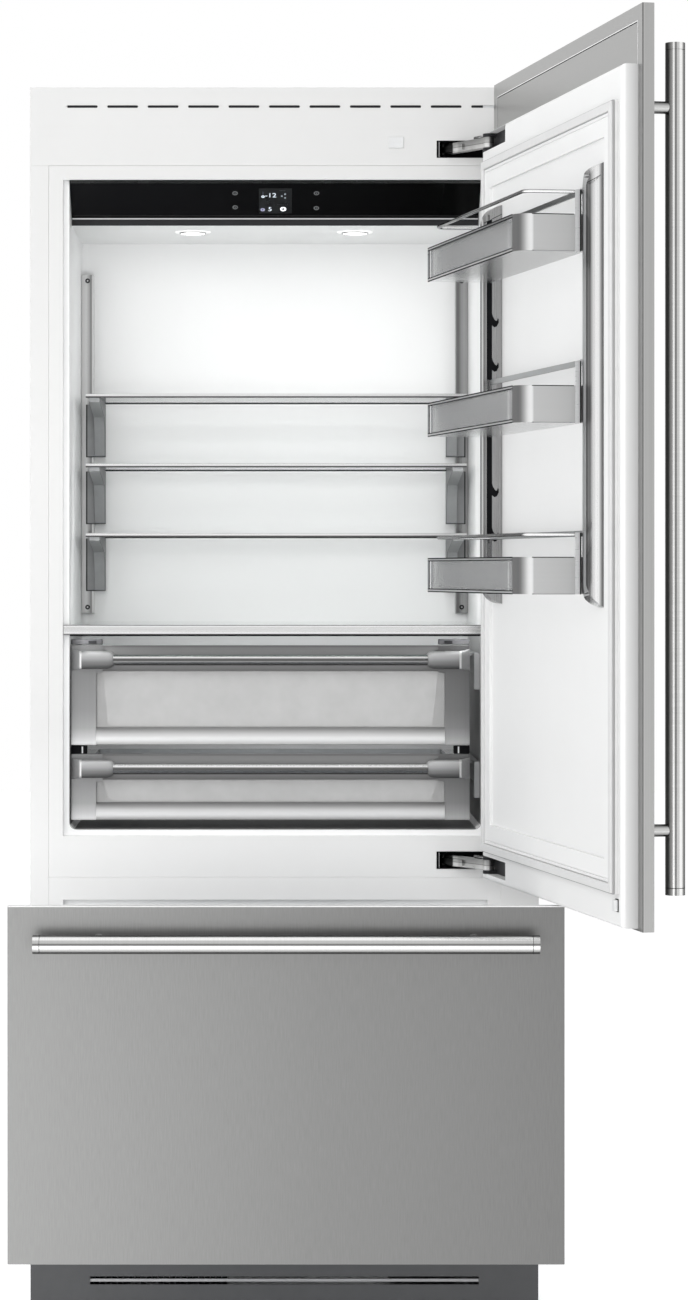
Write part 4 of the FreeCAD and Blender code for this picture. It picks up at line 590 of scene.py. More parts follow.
def islands(node):
    # the closed solids of a CAD node, in their own order: a solid ends where its last open edge is closed
    mesh = NODES[node].data
    co = [tuple(v.co) for v in mesh.vertices]
    solids, faces, open_edges = [], [], set()
    for poly in mesh.polygons:
        face = []
        for i in poly.vertices:
            if co[i] not in face:
                face.append(co[i])
        if len(face) < 3:
            continue
        faces.append(face)
        for k, point in enumerate(face):
            open_edges ^= {frozenset((point, face[k - 1]))}
        if not open_edges:
            solids.append(faces)
            faces = []
    if faces:
        solids.append(faces)
    found = []
    for group in solids:
        local, verts, made = {}, [], []
        for face in group:
            ids = []
            for point in face:
                if point not in local:
                    local[point] = len(verts)
                    verts.append(Vector(point))
                ids.append(local[point])
            made.append(ids)
        low = Vector(min(v[a] for v in verts) for a in range(3)) / MM
        high = Vector(max(v[a] for v in verts) for a in range(3)) / MM
        found.append({"data": (verts, made), "low": low, "high": high})
    found.sort(key=lambda one: (round(one["low"].z), round(one["low"].x), round(one["low"].y)))
    return found


def body_of(node):
    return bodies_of(NODES[node])[0]


def copy_island(name, one, material, node, bevel=0.5, sharp=35.0, first=False, slot=None):
    # the first piece made from a node stands for it
    stands_for = (node,) if first else ()
    return add_piece(
        name, one["data"], material, body_of(node), bevel, 2, sharp, stands_for, HERE, weld=False, slot=slot
    )


def copy_node(node, material, bevel=0.6, steps=2, sharp=35.0, slot=None):
    verts, faces = [], []
    for one in islands(node):
        base = len(verts)
        verts += one["data"][0]
        faces += [tuple(i + base for i in face) for face in one["data"][1]]
    return add_piece(
        node + "_dressed", (verts, faces), material, body_of(node), bevel, steps, sharp, (node,), HERE, weld=False,
        slot=slot,
    )


def dress(node, material):
    piece = NODES[node]
    piece.data.materials.clear()
    piece.data.materials.append(material)


def passes_light(piece):
    # thin clear pieces leave no shadow on what is behind them
    piece.visible_shadow = False


def repaint(piece, choose, place=HERE):
    # gives faces another of the piece's materials, by their place in millimetres and their direction
    turn = place.inverted()
    spin = turn.to_3x3()
    for poly in piece.data.polygons:
        index = choose(turn @ poly.center / MM, spin @ poly.normal)
        if index:
            poly.material_index = index


def glaze(pane):
    # the narrow side faces of a pane show its tinted edge
    repaint(pane, lambda at, n: int(abs(n.z) < 0.5))
    passes_light(pane)


def side_shape(points, x0, x1):
    # a flat shape drawn in the YZ plane, between two places across
    return loft([[Vector((x, y, z)) * MM for y, z in points] for x in (x0, x1)])


def rectangle(x0, x1, z0, z1):
    return [(x0, z0), (x1, z0), (x1, z1), (x0, z1)]


# ---- cabinet
for node in ("cabinet_side_left", "cabinet_side_right"):
    copy_node(node, SKIN, 1.0, 3)
dress("cabinet_back", SKIN)
for node in ("cabinet_ceiling", "cabinet_divider", "cabinet_floor"):
    dress(node, FOAM)
copy_node("cabinet_top_plate", ZINC, 0.5)
copy_node("base_frame", ZINC, 0.4)
copy_node("rear_cover", ZINC, 0.3)
copy_node("front_header", WHITE, 0.4)
copy_node("front_trims", WHITE, 0.5)
loops = [[(-444.5, 2055.4), (444.5, 2055.4), (444.5, 2125.0), (-444.5, 2125.0)]]
for i in range(VENT_SLOTS):
    x = (i - (VENT_SLOTS - 1) / 2) * VENT_PITCH
    loops.append(rounded_loop(x - VENT_HALF, x + VENT_HALF, 2089.3, 2093.9, 2.25, 5))
plate("vent_strip_plate", loops, 0.0, 3.0, WHITE, "cabinet", stands_for=("front_vent_strip",))
block("vent_filter", (-395, 395, 4.0, 6.5, 2084, 2099), DARK, "cabinet", 0.4)
plate("sensor_cover", [rounded_loop(182, 208, 2019, 2038, 2.5)], -2.2, -0.3, PALE, "cabinet", 0.5)
for node in ("fridge_liner", "freezer_liner"):
    # the flange on the front face is painted like the rest of the front
    liner = copy_node(node, [LINER, WHITE], 1.6, 3, 40)
    for poly in liner.data.polygons:
        if poly.normal.y < -0.9 and poly.center.y < FLANGE_Y:
            poly.material_index = 1


# ---- control panel
copy_node("control_panel", GLASS_BLACK, steps=3)
dress("control_housing", DARK)
# down the tilted glass, and out from it
DOWN = Vector((0, 0.791, -0.612))
OUTWARD = Vector((0, -0.612, -0.791))
PANEL_TOP = Vector((0, 0, 1963.0))


def panel_matrix(x, s, h):
    at = (PANEL_TOP + Vector((x, 0, 0)) + DOWN * s + OUTWARD * h) * MM
    turn = Matrix(((1, 0, 0, 0), (0, OUTWARD.z, OUTWARD.y, 0), (0, -OUTWARD.y, OUTWARD.z, 0), (0, 0, 0, 1)))
    return Matrix.Translation(at) @ turn


def words(name, text, size, x, s, material):
    curve = bpy.data.curves.new(name, "FONT")
    curve.body = text
    curve.size = size * MM
    curve.extrude = LETTER_HALF
    curve.align_x = "CENTER"
    curve.align_y = "CENTER"
    place = panel_matrix(x, s, 0.35)
    add_piece(name, curve_mesh(curve), material, "cabinet", place=place, tidy=False, slot="black_glass")


def panel_ring(name, x, s, outer, inner, material):
    data = hoop_data(((inner, 0.1), (inner, 0.45), (outer, 0.45), (outer, 0.1)), 28)
    add_piece(name, data, material, "cabinet", place=panel_matrix(x, s, 0.0), tidy=False, slot="black_glass")


def panel_bar(name, x, s, w, h, material):
    data = box_data(-w / 2, w / 2, -h / 2, h / 2, 0.1, 0.4)
    add_piece(name, data, material, "cabinet", 0.1, place=panel_matrix(x, s, 0.0), slot="black_glass")


panel_bar("panel_upper_bevel", -16, 4.2, 716, 6.5, BEVEL_LINE)
panel_bar("panel_lower_bevel", -16, 91.2, 716, 5.0, BEVEL_LINE)
panel_bar("display_window", -15.7, 52.0, 58, 63, shade("display_window_dark", (0.009, 0.009, 0.010), 0.3, vary=0.2))
words("display_upper_figures", "-12", 15.5, -24, 38, DIGITS)
words("display_lower_figure", "5", 14.5, -25, 73, DIGITS)
panel_ring("display_ring", -1.9, 72.4, 5.2, 2.5, RING)
panel_bar("display_stem", -37.5, 33.0, 2.0, 9.0, FROSTY)
panel_ring("display_bulb", -37.5, 41.0, 3.0, 1.2, DIGITS)
panel_ring("display_cold_mark", -38.0, 74.0, 4.0, 1.6, FROSTY)
panel_bar("display_cold_bar", -38.0, 74.0, 8.5, 1.4, FROSTY)
panel_bar("display_upper_line", -3.1, 26.0, 11.0, 1.6, MARKS)
for i, (x, s) in enumerate(((-4.4, 39.5), (1.4, 34.5), (1.4, 44.0))):
    panel_bar("display_mark_%d" % (i + 1), x, s, 3.2, 4.0, DIGITS)
for i in range(6):
    panel_bar("display_dash_%d" % (i + 1), -11.1 + 3.3 * i, 60.8, 2.1, 2.4, MARKS)
for i, (x, s) in enumerate(((-86.5, 32.5), (-86.5, 68), (56.5, 32.5), (56.5, 70))):
    panel_ring("touch_ring_%d" % (i + 1), x, s, 4.8, 2.9, MARKS)
    panel_bar("touch_bar_%d" % (i + 1), x, s, 2.0, 2.4, MARKS)
block("panel_lower_trim", (-375.0, 343.0, 70.5, 75.5, 1901.5, 1904.0), STRIP_LIGHT, "cabinet", 0.6)

copy_node("ceiling_lights", LENS, 0.8, 3)
for i, x in enumerate(LIGHT_XS):
    bezel = hoop_data(((21.6, 1890.9), (21.6, 1887.2), (24.4, 1887.8), (25.0, 1890.9)), 48, x, LIGHT_Y)
    add_piece("light_bezel_%d" % (i + 1), bezel, SATIN_X, "cabinet", tidy=False)
    # a ring of painted light on the ceiling round the bezel
    halo = hoop_data(((25.0, 1890.8), (25.6, 1889.2), (31.0, 1889.4), (32.0, 1890.9)), 48, x, LIGHT_Y)
    add_piece("light_halo_%d" % (i + 1), halo, HALO, "cabinet", tidy=False)


# ---- rails and shelves
for one in islands("shelf_rails"):
    left = one["low"].x < 0
    copy_island(
        "shelf_rail_left" if left else "shelf_rail_right", one, RAIL_LEFT if left else RAIL_RIGHT, "shelf_rails",
        first=True
    )
for side, x in (("left", -364.0), ("right", 332.0)):
    for row, z in (("low", 1213.0), ("high", 1820.0)):
        profile = [(0, 4.6), (1.6, 4.6), (2.6, 3.4), (2.6, 1.7), (1.3, 1.5)]
        round_piece("rail_screw_%s_%s" % (side, row), (x, 396.2, z), (0, -1, 0), profile, DARK, "cabinet", 24)
for n in (1, 2, 3):
    node = "shelf_%d" % n
    for k, one in enumerate(islands(node)):
        size = one["high"] - one["low"]
        first = k == 0
        if size.y > 200 and size.z < 6:
            glaze(copy_island("%s_glass" % node, one, [PANE, PANE_EDGE], node, 0.8, first=first))
        elif size.x > 400:
            label = "front" if one["low"].y < 200 else "rear"
            low = one["low"].z
            # painted shade along the trim's lower and upper edges and a painted highlight across its face
            paint = brushed(
                "%s_trim_%s_satin" % (node, label), SATIN, 0.28, LEVEL,
                z=[(low, 0.10), (low + 2.2, 0.12), (low + 3.0, 0.78), (low + 6.0, 0.86), (low + 7.0, 0.40)]
            )
            copy_island("%s_trim_%s" % (node, label), one, paint, node, first=first)
        else:
            label = "left" if one["low"].x < 0 else "right"
            x0, x1, z0, z1 = one["low"].x, one["high"].x, one["low"].z, one["high"].z
            # painted shade along the gusset's edges and towards its lower edge
            across = [(x0, 0.12), (x0 + 2.2, 0.12), (x0 + 3.2, 1.0), (x1 - 1.6, 1.0), (x1 - 0.8, 0.5), (x1, 0.5)]
            if label == "right":
                across = [(x0 + x1 - x, bright) for x, bright in reversed(across)]
            paint = grain(
                "%s_gusset_%s_grey" % (node, label), (0.36, 0.365, 0.37), 0.42, 60, 0.05, 0.10, 900, spec=0.3,
                x=across, z=[(z0, 0.25), (z0 + 1.6, 0.25), (z0 + 2.6, 0.9), ((z0 + z1) / 2, 1.0), (z1, 0.8)]
            )
            copy_island("%s_gusset_%s" % (node, label), one, paint, node, 2.2, first=first, slot="grey_plastic")


# ---- crispers
glaze(copy_node("crisper_cover_glass", [PANE, PANE_EDGE]))
# painted dark lines along the cover trim's top and bottom, and painted highlights between
COVER_TRIM = brushed(
    "cover_trim_satin", SATIN, 0.26, LEVEL, z=[(1169.0, 0.16), (1170.4, 0.16), (1171.2, 0.92), (1173.5, 0.72),
    (1181.5, 0.66), (1183.4, 0.88), (1184.6, 0.50), (1186.0, 0.20)]
)
copy_node("crisper_cover_trim", COVER_TRIM)
# a near black strip under the cover trim for the shadow there
block("crisper_cover_shadow_strip", (-375.0, 343.0, 3.5, 12.0, 1166.4, 1169.0), SHADE, "cabinet", 0.3)


def cavity_shade_sheet():
    # a grey sheet round the crispers, painted darker towards the floor, stands for the shade in the space there
    def outline(gap):
        left, right, floor, r = -375.95 + gap, 343.95 - gap, 828.05 + gap, 11.0
        points = [(left, 1166.0)]
        for centre, start in ((left + r, 180), (right - r, 270)):
            for i in range(7):
                t = math.radians(start + 15 * i)
                points.append((centre + r * math.cos(t), floor + r + r * math.sin(t)))
        return points + [(right, 1166.0)]

    rings = []
    for y in (12.0, 400.0):
        rings.append([Vector((x, y, z)) * MM for x, z in outline(0.0) + list(reversed(outline(0.6)))])
    add_piece("cavity_shade_sheet", loft(rings), CAVITY_SHADE, "cabinet", tidy=False)


def d_section(x, front, half, r, middle, back=34.0, steps=6):
    ring = [(back, -half)]
    for start, sign in ((270, -1), (180, 1)):
        for i in range(steps + 1):
            t = math.radians(start - 90 * i / steps)
            ring.append((front + r + r * math.cos(t), sign * (half - r) + r * math.sin(t)))
    ring.append((back, half))
    return [Vector((x, y, middle + z)) * MM for y, z in ring]


def crisper_handle(body, middle, material):
    stations = (
        (6.1, 31.0, 19.0, 1.5), (10.7, 26.0, 18.2, 3.0), (17.0, 16.0, 16.8, 6.0), (21.5, 6.6, 15.8, 8.0),
        (23.5, 3.0, 15.5, 9.0), (25.5, 2.4, 15.4, 9.0), (71.0, 2.4, 15.4, 9.0), (77.5, 3.2, 13.6, 8.5),
        (81.0, 4.8, 10.6, 7.0), (82.2, 8.0, 9.6, 6.0)
    )
    for label, start, way in (("left", -380.5, 1), ("right", 331.8, -1)):
        rings = [d_section(start + way * far, front, half, r, middle) for far, front, half, r in stations]
        sleeve = add_piece(
            "%s_sleeve_%s" % (body, label), loft(rings), [material, SLEEVE_END_SHADE, SLEEVE_ARC_HIGHLIGHT], body, sharp=32.0,
            stands_for=(body + "_handle",), tidy=False
        )
        # the flared end takes the painted shade, the band next to it the painted highlight arc
        flare, arc = start + way * 21.4, start + way * 25.6
        repaint(sleeve, lambda at, n: 1 if (at.x - flare) * way < 0 else 2 if (at.x - arc) * way < 0 else 0)
    round_piece(
        body + "_tube", (-299.5, 12.0, middle), (1, 0, 0), [(0, 9.2), (550.3, 9.2)], STEEL_TUBE, body, 40,
        (body + "_handle",)
    )


TUB_MIDDLE = -48.7


def crisper_fronts(body, low, high, plates):
    # end plates, and the outline of the tub behind the frosted window, with a dark sheet round it for painted shade
    # and a painted highlight along its edge
    half = [
        (0.2, low + 0.3), (44.0, low + 0.3), (44.0, high - 49.0), (55.5, high - 46.5), (55.5, high - 43.0),
        (69.5, high - 39.0), (69.5, high - 12.0), (55.5, high - 7.0), (55.5, high - 0.3), (0.2, high - 0.3)
    ]
    for label, start, way in (("left", -374.5, 1), ("right", 325.8, -1)):
        plate(
            "%s_end_plate_%s" % (body, label), [[(start + way * x, z) for x, z in half]], 33.2, 34.0, plates, body,
            0.3
        )
    bottom, top = low + 33.5, high - 46.0
    outline = [(-319.0, top), (-310.5, bottom + 12.0)]
    for i in range(1, 7):
        t = math.radians(180 + 15 * i)
        outline.append((-298.5 + 12.0 * math.cos(t), bottom + 12.0 + 12.0 * math.sin(t)))
    outline += [(TUB_MIDDLE - x, z) for x, z in reversed(outline)]
    plate(body + "_tub_front", [outline], 40.4, 41.4, TUB_FRONT, body, 0.3)
    inner = [(TUB_MIDDLE + (x - TUB_MIDDLE) * 0.986, z + 2.6 if z < (bottom + top) / 2 else z) for x, z in outline]
    plate(body + "_tub_edge", [outline, inner], 40.15, 40.35, EDGE_HIGHLIGHT, body, 0, slot="clear_plastic")
    plate(body + "_tub_margin", [rectangle(-330.0, 281.3, low + 31.2, high - 45.2)], 41.6, 42.4, TUB_MARGIN_SHADE, body, 0.2)


cavity_shade_sheet()
for name, low, high in (("upper", 974.6, 1149.7), ("lower", 842.9, 959.0)):
    body = "crisper_" + name
    plates, rails, sleeves = crisper_metals(name, low, high)
    copy_node(body + "_frame", rails, 0.8)
    crisper_handle(body, high - HANDLE_DROP, sleeves)
    crisper_fronts(body, low, high, plates)
    for k, one in enumerate(sorted(islands(body + "_tub"), key=lambda o: o["low"].y)):
        window = (one["high"] - one["low"]).y < 10
        label, paint, bevel = ("_window", FROST, 0.4) if window else ("_bin", TUB, 0.8)
        passes_light(copy_island(body + label, one, paint, body + "_tub", bevel, first=k == 0))
# small parts at both sides: their reach in from the side wall, then depths and heights
SIDE_PARTS = (
    ("crisper_stop_", 0, 27, (36, 60, 959.2, 972.8), SHADE, "crisper_lower", 0.5),
    ("crisper_pin_", 18, 20.5, (34.8, 36.6, 960, 972), PALE, "crisper_lower", 0.3),
    ("cover_bracket_", 0, 54, (38, 62, 1150.8, 1160.5), SLEEVE_DARK, "cabinet", 1.5),
    ("cover_bracket_clip_", 30, 44, (36.4, 38.6, 1152.5, 1158), DARK, "cabinet", 0.8),
)
for label, start, way in (("left", -374.0, 1), ("right", 325.3, -1)):
    for name, near, far, rest, paint, body, bevel in SIDE_PARTS:
        a, b = sorted((start + way * near, start + way * far))
        block(name + label, (a, b, *rest), paint, body, bevel)
copy_node("fixed_slides", SLIDE, 0.8)


# ---- freezer drawer
panel = copy_node("freezer_panel", [STEEL_DRAWER, EDGE_HIGHLIGHT], 1.0, 3)
# the panel's top faces, and a strip along its top edge, take the painted highlight
repaint(panel, lambda at, n: int(n.z > 0.9))
one = islands("freezer_panel")[0]
front, top = one["low"].y, one["high"].z
block(
    "freezer_panel_top_highlight", (one["low"].x + 1.0, one["high"].x - 1.0, front - 0.15, front + 1.5, top - 1.9, top - 0.3),
    EDGE_HIGHLIGHT, "freezer_drawer", 0.1
)
copy_node("freezer_body", LINER, 0.8, slot="foam_filled_wall")
copy_node("freezer_gasket", RUBBER, 0.8)
bar = copy_node("freezer_handle", [STEEL_BAR_X, STEEL_POST], 0.4)
repaint(bar, lambda at, n: int(at.y > DRAWER_BAR_BACK))
for label, x in (("left", -394.6), ("right", 393.4)):
    round_piece(
        "freezer_handle_ring_" + label, (x, -525.95, 684.4), (1, 0, 0), HANDLE_RING, SHADE, "freezer_drawer", 48
    )
copy_node("freezer_basket", WIREY, 0.8)
copy_node("freezer_slide_moving", CAST)
copy_node("freezer_slide_middle", CAST)
copy_node("freezer_tray", WIREY, 0.8)
dress("freezer_duct_cover", LINER)
dress("freezer_evaporator", COIL)
dress("evaporator_fan", FAN)


# ---- door
panel = copy_node("door_panel", [STEEL_DOOR, STEEL_END], 0.8)
# the panel's end face takes the painted shadow line and highlight
repaint(panel, lambda at, n: int(at.x < PANEL_END and n.x < -0.9), OPENED)
slab = copy_node("door_body", [DOOR_WHITE, STEEL_DOOR, DOOR_END], 1.2, 3)
# the body's end faces take the painted shade
repaint(slab, lambda at, n: 1 if at.y < BODY_FRONT else 2 if at.x < BODY_END and n.x < -0.9 else 0, OPENED)
# a painted highlight along the panel's fold, and inside it a near black sheet for the shadow in the gap
plate(
    "door_fold_highlight", [rectangle(-425.3, 425.3, 768.6, 2098.8), rectangle(-424.0, 424.0, 769.9, 2097.4)], -40.0,
    -39.6, EDGE_HIGHLIGHT, "door", 0.1
)
plate(
    "door_fold_gap_shadow", [rectangle(-424.0, 424.0, 769.9, 2097.4), rectangle(-422.6, 422.6, 771.4, 2096.0)], -40.0, -39.8,
    SHADE, "door", 0
)
copy_node("door_gasket", RUBBER_LIGHT, 1.4, 3)
# the channel ring is a darker rubber for the shade in the gasket's channel
for label, low, high in (("channel", -6.9, -3.6), ("root", -11.3, -10.3)):
    plate(
        "door_gasket_" + label, [rectangle(-416.75, 386.75, 799.75, 1981.25), rectangle(-415, 385, 801.5, 1979.5)],
        low, high, RUBBER_CHANNEL_SHADE if label == "channel" else RUBBER, "door", 0.1
    )
plate(
    "door_gasket_skirt", [rectangle(-401.0, 371.0, 815.5, 1965.5), rectangle(-396.5, 366.5, 820, 1961)], -14.0, -4.3,
    DOOR_WHITE, "door", 0.3, slot="white_liner"
)
# a near black plate round the catch for the shadow at its edge
block("door_catch_shadow_line", (-413.6, -398.4, -14.3, -12.6, 772.9, 792.1), SHADE, "door", 0.2)
block("door_catch", (-412.5, -399.5, -14.5, -7.5, 774, 791), PALE, "door", 1.2)
round_piece("door_catch_hole", (-393.5, -14.2, 783), (0, 1, 0), [(0, 3.6), (0.6, 3.6), (0.9, 3.2)], DARK, "door", 24)
bar = copy_node("door_handle", [STEEL_BAR, STEEL_POST], 0.4)
repaint(bar, lambda at, n: int(at.y > DOOR_BAR_BACK), OPENED)
for label, z in (("low", 805.0), ("high", 2060.9)):
    round_piece("door_handle_ring_" + label, (-391.5, -108, z), (0, 0, 1), HANDLE_RING, SHADE, "door", 48)
NEAR_DEPTH = 26.5 / 33.0  # how deep the near column is shown, as a share of its solid
COLUMN_BACK = -9.0
SLOT_FACE, SLOT_FRONT = -0.333, 0.015  # the flank with the hook slots, in metres
SLOT_SHARE = 0.278
CAP_Z, CAP_FRONT, CAP_RISE = 1864.0, 22.5, 0.498
SEAM = 1.1
for one in islands("door_columns"):
    far = one["low"].x < 400
    if not far:
        # the column at the handle side is shallower, with its hook slots as they are
        verts, faces = one["data"]
        slim = []
        for v in verts:
            flat = OPENED.inverted() @ v
            if flat.x > SLOT_FACE:
                flat.y = min(flat.y, SLOT_FRONT + (flat.y - SLOT_FRONT) * SLOT_SHARE)
            else:
                flat.y = (COLUMN_BACK + (flat.y / MM - COLUMN_BACK) * NEAR_DEPTH) * MM
            slim.append(OPENED @ flat)
        one["data"] = (slim, faces)
    column = copy_island(
        "door_column_far" if far else "door_column_near", one,
        [SATIN_FLAT if far else SATIN_FLANK, FLANK_FAR if far else SATIN_Z], "door_columns", 1.0, 40, first=True
    )
    repaint(column, lambda at, n: int(n.y > 0.6 if far else n.y > 0.95 or n.x > 0.5), OPENED)
# the channel, hook slots and cap seams are near black for the shade in them
channel = side_shape([(8.8, 1242), (17.8, 1242), (17.8, 1867.3), (8.8, 1871.3)], 268.1, 268.7)
add_piece("column_channel", channel, SHADE, "door")
HOOK = (
    (11.5, 36), (9.6, 26), (7.2, 18), (3.8, 12.5), (1.2, 10.5), (-0.2, 12), (-1.2, 15.5), (-2.6, 14), (-2.8, 8),
    (0.5, 1.6), (4.5, 0), (8.4, 3), (11.5, 10)
)
for i, z in enumerate((1329.5, 1404.2, 1614.9, 1689.6)):
    slot = side_shape([(y, z + up) for y, up in HOOK], 268.0, 268.7)
    add_piece("column_hook_slot_%d" % (i + 1), slot, SHADE, "door", tidy=False)
for label, a, b in (("front", 22.5, 17.6), ("back", 8.6, -8.4)):
    za, zb = CAP_Z + (CAP_FRONT - a) * CAP_RISE, CAP_Z + (CAP_FRONT - b) * CAP_RISE
    seam = side_shape([(a, za), (b, zb), (b, zb + SEAM), (a, za + SEAM)], 268.0, 268.7)
    add_piece("column_cap_seam_" + label, seam, SHADE, "door")
section = ((16.2, 0), (16.75, 0), (16.75, 1.0), (16.2, 1.0))
rings = []
for i in range(17):
    t = math.radians(90 + 180 * i / 16)
    z = 1864.2 + (16.5 - 16.5 * math.sin(t)) * 0.47
    ring = [(-350 + r * math.cos(t), COLUMN_BACK + (16.5 + r * math.sin(t)) * NEAR_DEPTH, z + up) for r, up in section]
    rings.append([Vector(point) * MM for point in ring])
add_piece("column_cap_seam_near", loft(rings), SHADE, "door", tidy=False)
copy_node("door_hinge_plates", DARK, slot="cast_hinge")
BIN_LOW, BIN_PITCH = 1245.7, 259.25
for n in (1, 2, 3):
    node = "door_bin_%d" % n
    low = BIN_LOW + BIN_PITCH * (n - 1)
    # painted dark lines along the strips' edges and a painted highlight on them
    strip_shading = brushed(
        node + "_strip_shaded_satin", SATIN, 0.30, LEVEL, z=[(low, 0.07), (low + 1.2, 0.07), (low + 1.5, 0.72),
        (low + 3.9, 0.50), (low + 52, 0.40), (low + 54.4, 0.50), (low + 54.8, 0.08), (low + 56, 0.08)]
    )
    for k, one in enumerate(islands(node)):
        size = one["high"] - one["low"]
        first = k == 0
        if size.z > 60:
            walls = copy_island(node + "_walls", one, [CLEAR, STRIP_LIGHT, STRIP], node, 0.9, first=first)
            # the near end faces take the lighter satin, two lines along the top the darker satin
            repaint(
                walls, lambda at, n: 1 if at.x < -322.6 else 2 if at.z > low + 86 and 11.2 < at.y < 14.8 else 0,
                OPENED
            )
            passes_light(walls)
        elif size.z > 30:
            # the metal shows on the end and round the corner, the rest of the strip is clear
            band = copy_island(node + "_band", one, [SATIN_BAND, CLEAR], node, 0.3, first=first)
            repaint(band, lambda at, n: int(at.x > -298 and at.y > 100), OPENED)
            passes_light(band)
        elif size.z > 5:
            copy_island(node + "_guard", one, WIRE, node, 0.0, 50, first=first)
        else:
            copy_island("%s_strip_%d" % (node, k), one, strip_shading, node, 0.2, first=first)
    # posts in the lighter and darker satin, and near black blocks along posts and strips for painted shade lines
    small = [
        ("far_post", (264.5, 267.0, 117.6, 120.0, low, low + 56), STRIP, 0.4),
        ("far_line", (264.4, 264.9, 116.4, 117.7, low, low + 56), SHADE, 0),
        ("near_post", (-324.2, -322.4, 20.5, 28.0, low - 0.5, low + 93), STRIP_LIGHT, 0.5),
        ("near_line", (-324.3, -322.4, 18.8, 20.4, low - 0.5, low + 93), SHADE, 0),
    ]
    for k, up in enumerate((0, 52)):
        small.append(("strip_end_%d" % (k + 1), (-299.0, -268.4, 119.6, 120.1, low + up, low + up + 4), strip_shading, 0.1))
    for k, (a, b) in enumerate(((-0.4, 1.4), (4.0, 5.4), (50.8, 52.2), (54.6, 56.4))):
        small.append(("front_line_%d" % (k + 1), (-299.0, 264.6, 119.2, 120.2, low + a, low + b), SHADE, 0))
    for k, (a, b) in enumerate(((-0.4, 0.6), (54.9, 56.2))):
        small.append(("end_line_%d" % (k + 1), (-322.9, -322.2, 30.0, 95.0, low + a, low + b), SHADE, 0))
    small.append(("band_line", (-323.0, -322.0, 28.0, 92.0, low - 0.6, low + 0.5), STRIP, 0.1))
    for label, box, paint, bevel in small:
        block("%s_%s" % (node, label), box, paint, node, bevel)


# ---- hinges
copy_node("hinge_cases", SHADE, 0.4)
for label, low, paint in (("top", 2008, ARM_TOP), ("bottom", 766, ARM_BOTTOM)):
    arm = "hinge_arm_" + label
    copy_node(arm, paint, 1.2, 3, slot="cast_hinge")
    block("hinge_guide_" + label, (269.6, 271.0, 1.2, 3.2, low - 5, low + 23), SATIN_Z, "cabinet", 0.3, "cast_hinge")
    profile = [(0, 0.6), (0.8, 2.1), (2.5, 2.7), (20, 2.7), (22, 2.3), (31, 2.3), (33, 1.6), (33.6, 0.5)]
    round_piece(
        "hinge_link_" + label, (328, -59.5, low + 20.6), (0.544, -0.839, 0), profile, WIRE, arm, 28, slot="cast_hinge"
    )


# ---- base and machine space
for one in islands("plinth"):
    bar = one["high"].z < 100
    copy_island("plinth_bar" if bar else "plinth_board", one, PLINTH_BAR if bar else PLINTH, "plinth", first=True)
copy_node("levelling_feet", DARK, 0.8)
copy_node("compressor", ENAMEL, 0.8, sharp=40)
dress("condenser", COIL)
dress("condenser_shroud", DARK)
dress("condenser_fan", FAN)
copy_node("refrigerant_pipes", COPPER, 0.0, sharp=60)


# ---- floor, lights, camera
KEY_W = 84
FRONT_W = 128
SIDE_W = 55
ABOVE_W = 20
INNER_W = 0.09
STRIP_W = 0.70
ROOM_S = 0.82
ROOM_FRONT = (0.74, 0.74, 0.735)
ROOM_SIDE = (0.40, 0.405, 0.41)
ROOM_BACK = (0.60, 0.60, 0.605)
ROOM_ACROSS = (1.12, 0.80)  # brighter on the left
FLOOR_GLOW = (0.30, 0.62)


def stage_floor():
    mesh = bpy.data.meshes.new("floor")
    work = bmesh.new()
    bmesh.ops.create_grid(work, x_segments=8, y_segments=8, size=14)
    work.to_mesh(mesh)
    work.free()
    floor = bpy.data.objects.new("floor", mesh)
    bpy.context.collection.objects.link(floor)
    g = Graph("floor_pale")
    colour = g.blend(g.between(g.noise(0.6), 0, 1), (0.90, 0.90, 0.90), (0.93, 0.93, 0.93))
    lift = g.span(g.seen(), 0.0, 1.0, *FLOOR_GLOW)
    look = {"Base Color": colour, "Roughness": 0.9, "Emission Color": (1, 1, 1, 1), "Emission Strength": lift}
    mesh.materials.append(g.finish(g.principled(look)))


def area_light(name, at, target, wide, tall, power):
    lamp = bpy.data.lights.new(name, "AREA")
    lamp.shape = "RECTANGLE"
    lamp.size = wide
    lamp.size_y = tall
    lamp.energy = power
    holder = bpy.data.objects.new(name, lamp)
    bpy.context.collection.objects.link(holder)
    holder.location = at
    holder.rotation_euler = (Vector(target) - Vector(at)).to_track_quat("-Z", "Y").to_euler()
    holder.visible_glossy = False
    return holder


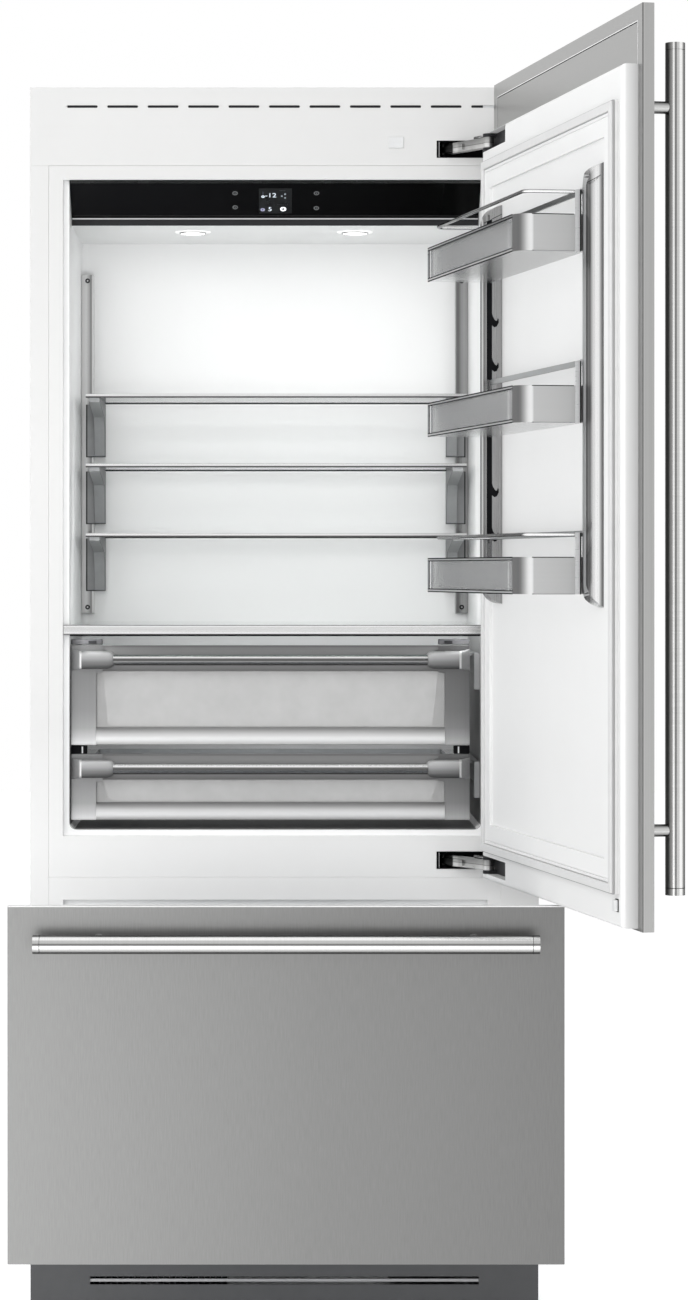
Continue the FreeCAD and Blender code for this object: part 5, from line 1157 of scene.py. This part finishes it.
def studio():
    scene = bpy.context.scene
    scene.view_settings.view_transform = "Standard"
    scene.world = bpy.data.worlds.new("studio")
    g = Graph("studio", scene.world)
    room = g.ramp(g.part("Y", "Generated"), ((-1.0, ROOM_FRONT), (0.0, ROOM_SIDE), (1.0, ROOM_BACK)))
    across = g.span(g.part("X", "Generated"), -1.0, 1.0, *ROOM_ACROSS)
    room = g.add("ShaderNodeVectorMath", {0: room, "Scale": across}, operation="SCALE").outputs[0]
    room = g.add("ShaderNodeBackground", {"Color": room, "Strength": ROOM_S})
    plain = g.add("ShaderNodeBackground", {"Color": (1, 1, 1, 1), "Strength": 1.0})
    # the camera, metal and glass all show the white background
    g.finish(g.mix(g.seen(), room.outputs[0], plain.outputs[0]))
    area_light("key", (-2.6, -4.6, 3.6), (0, 0, 1.1), 3.0, 3.0, KEY_W)
    area_light("front", (0.0, -7.5, 1.6), (0, 0, 1.2), 5.0, 4.0, FRONT_W)
    area_light("side", (-4.6, -0.9, 1.7), (0.4, -0.4, 1.2), 2.6, 3.2, SIDE_W)
    area_light("above", (0, -1.2, 4.6), (0, 0, 1.0), 3.2, 2.2, ABOVE_W)
    for x in LIGHT_XS:
        x, y = x * MM, LIGHT_Y * MM
        lamp = area_light("inner", (x, y, 1.884), (x, 0.16, 1.0), 0.05, 0.05, INNER_W)
        lamp.data.shape = "DISK"
    # soft strips inside the side walls, unseen by the camera, that carry the light down between the shelves
    for x, aim in ((-0.325, 0.05), (0.293, -0.08)):
        lamp = area_light("inner_strip", (x, 0.035, 1.43), (aim, 0.42, 1.36), 0.03, 0.56, STRIP_W)
        lamp.visible_camera = False


def camera():
    lens = bpy.data.cameras.new("view")
    lens.sensor_fit = "AUTO"
    lens.sensor_width = 36.0
    lens.lens = 96.23
    lens.shift_x = 0.06012
    lens.shift_y = -0.06152
    lens.clip_end = 100
    holder = bpy.data.objects.new("view", lens)
    bpy.context.collection.objects.link(holder)
    holder.location = (-0.03245, -6.06976, 1.282)
    holder.rotation_euler = (math.radians(90), 0, 0)
    bpy.context.scene.camera = holder


stage_floor()
studio()
camera()
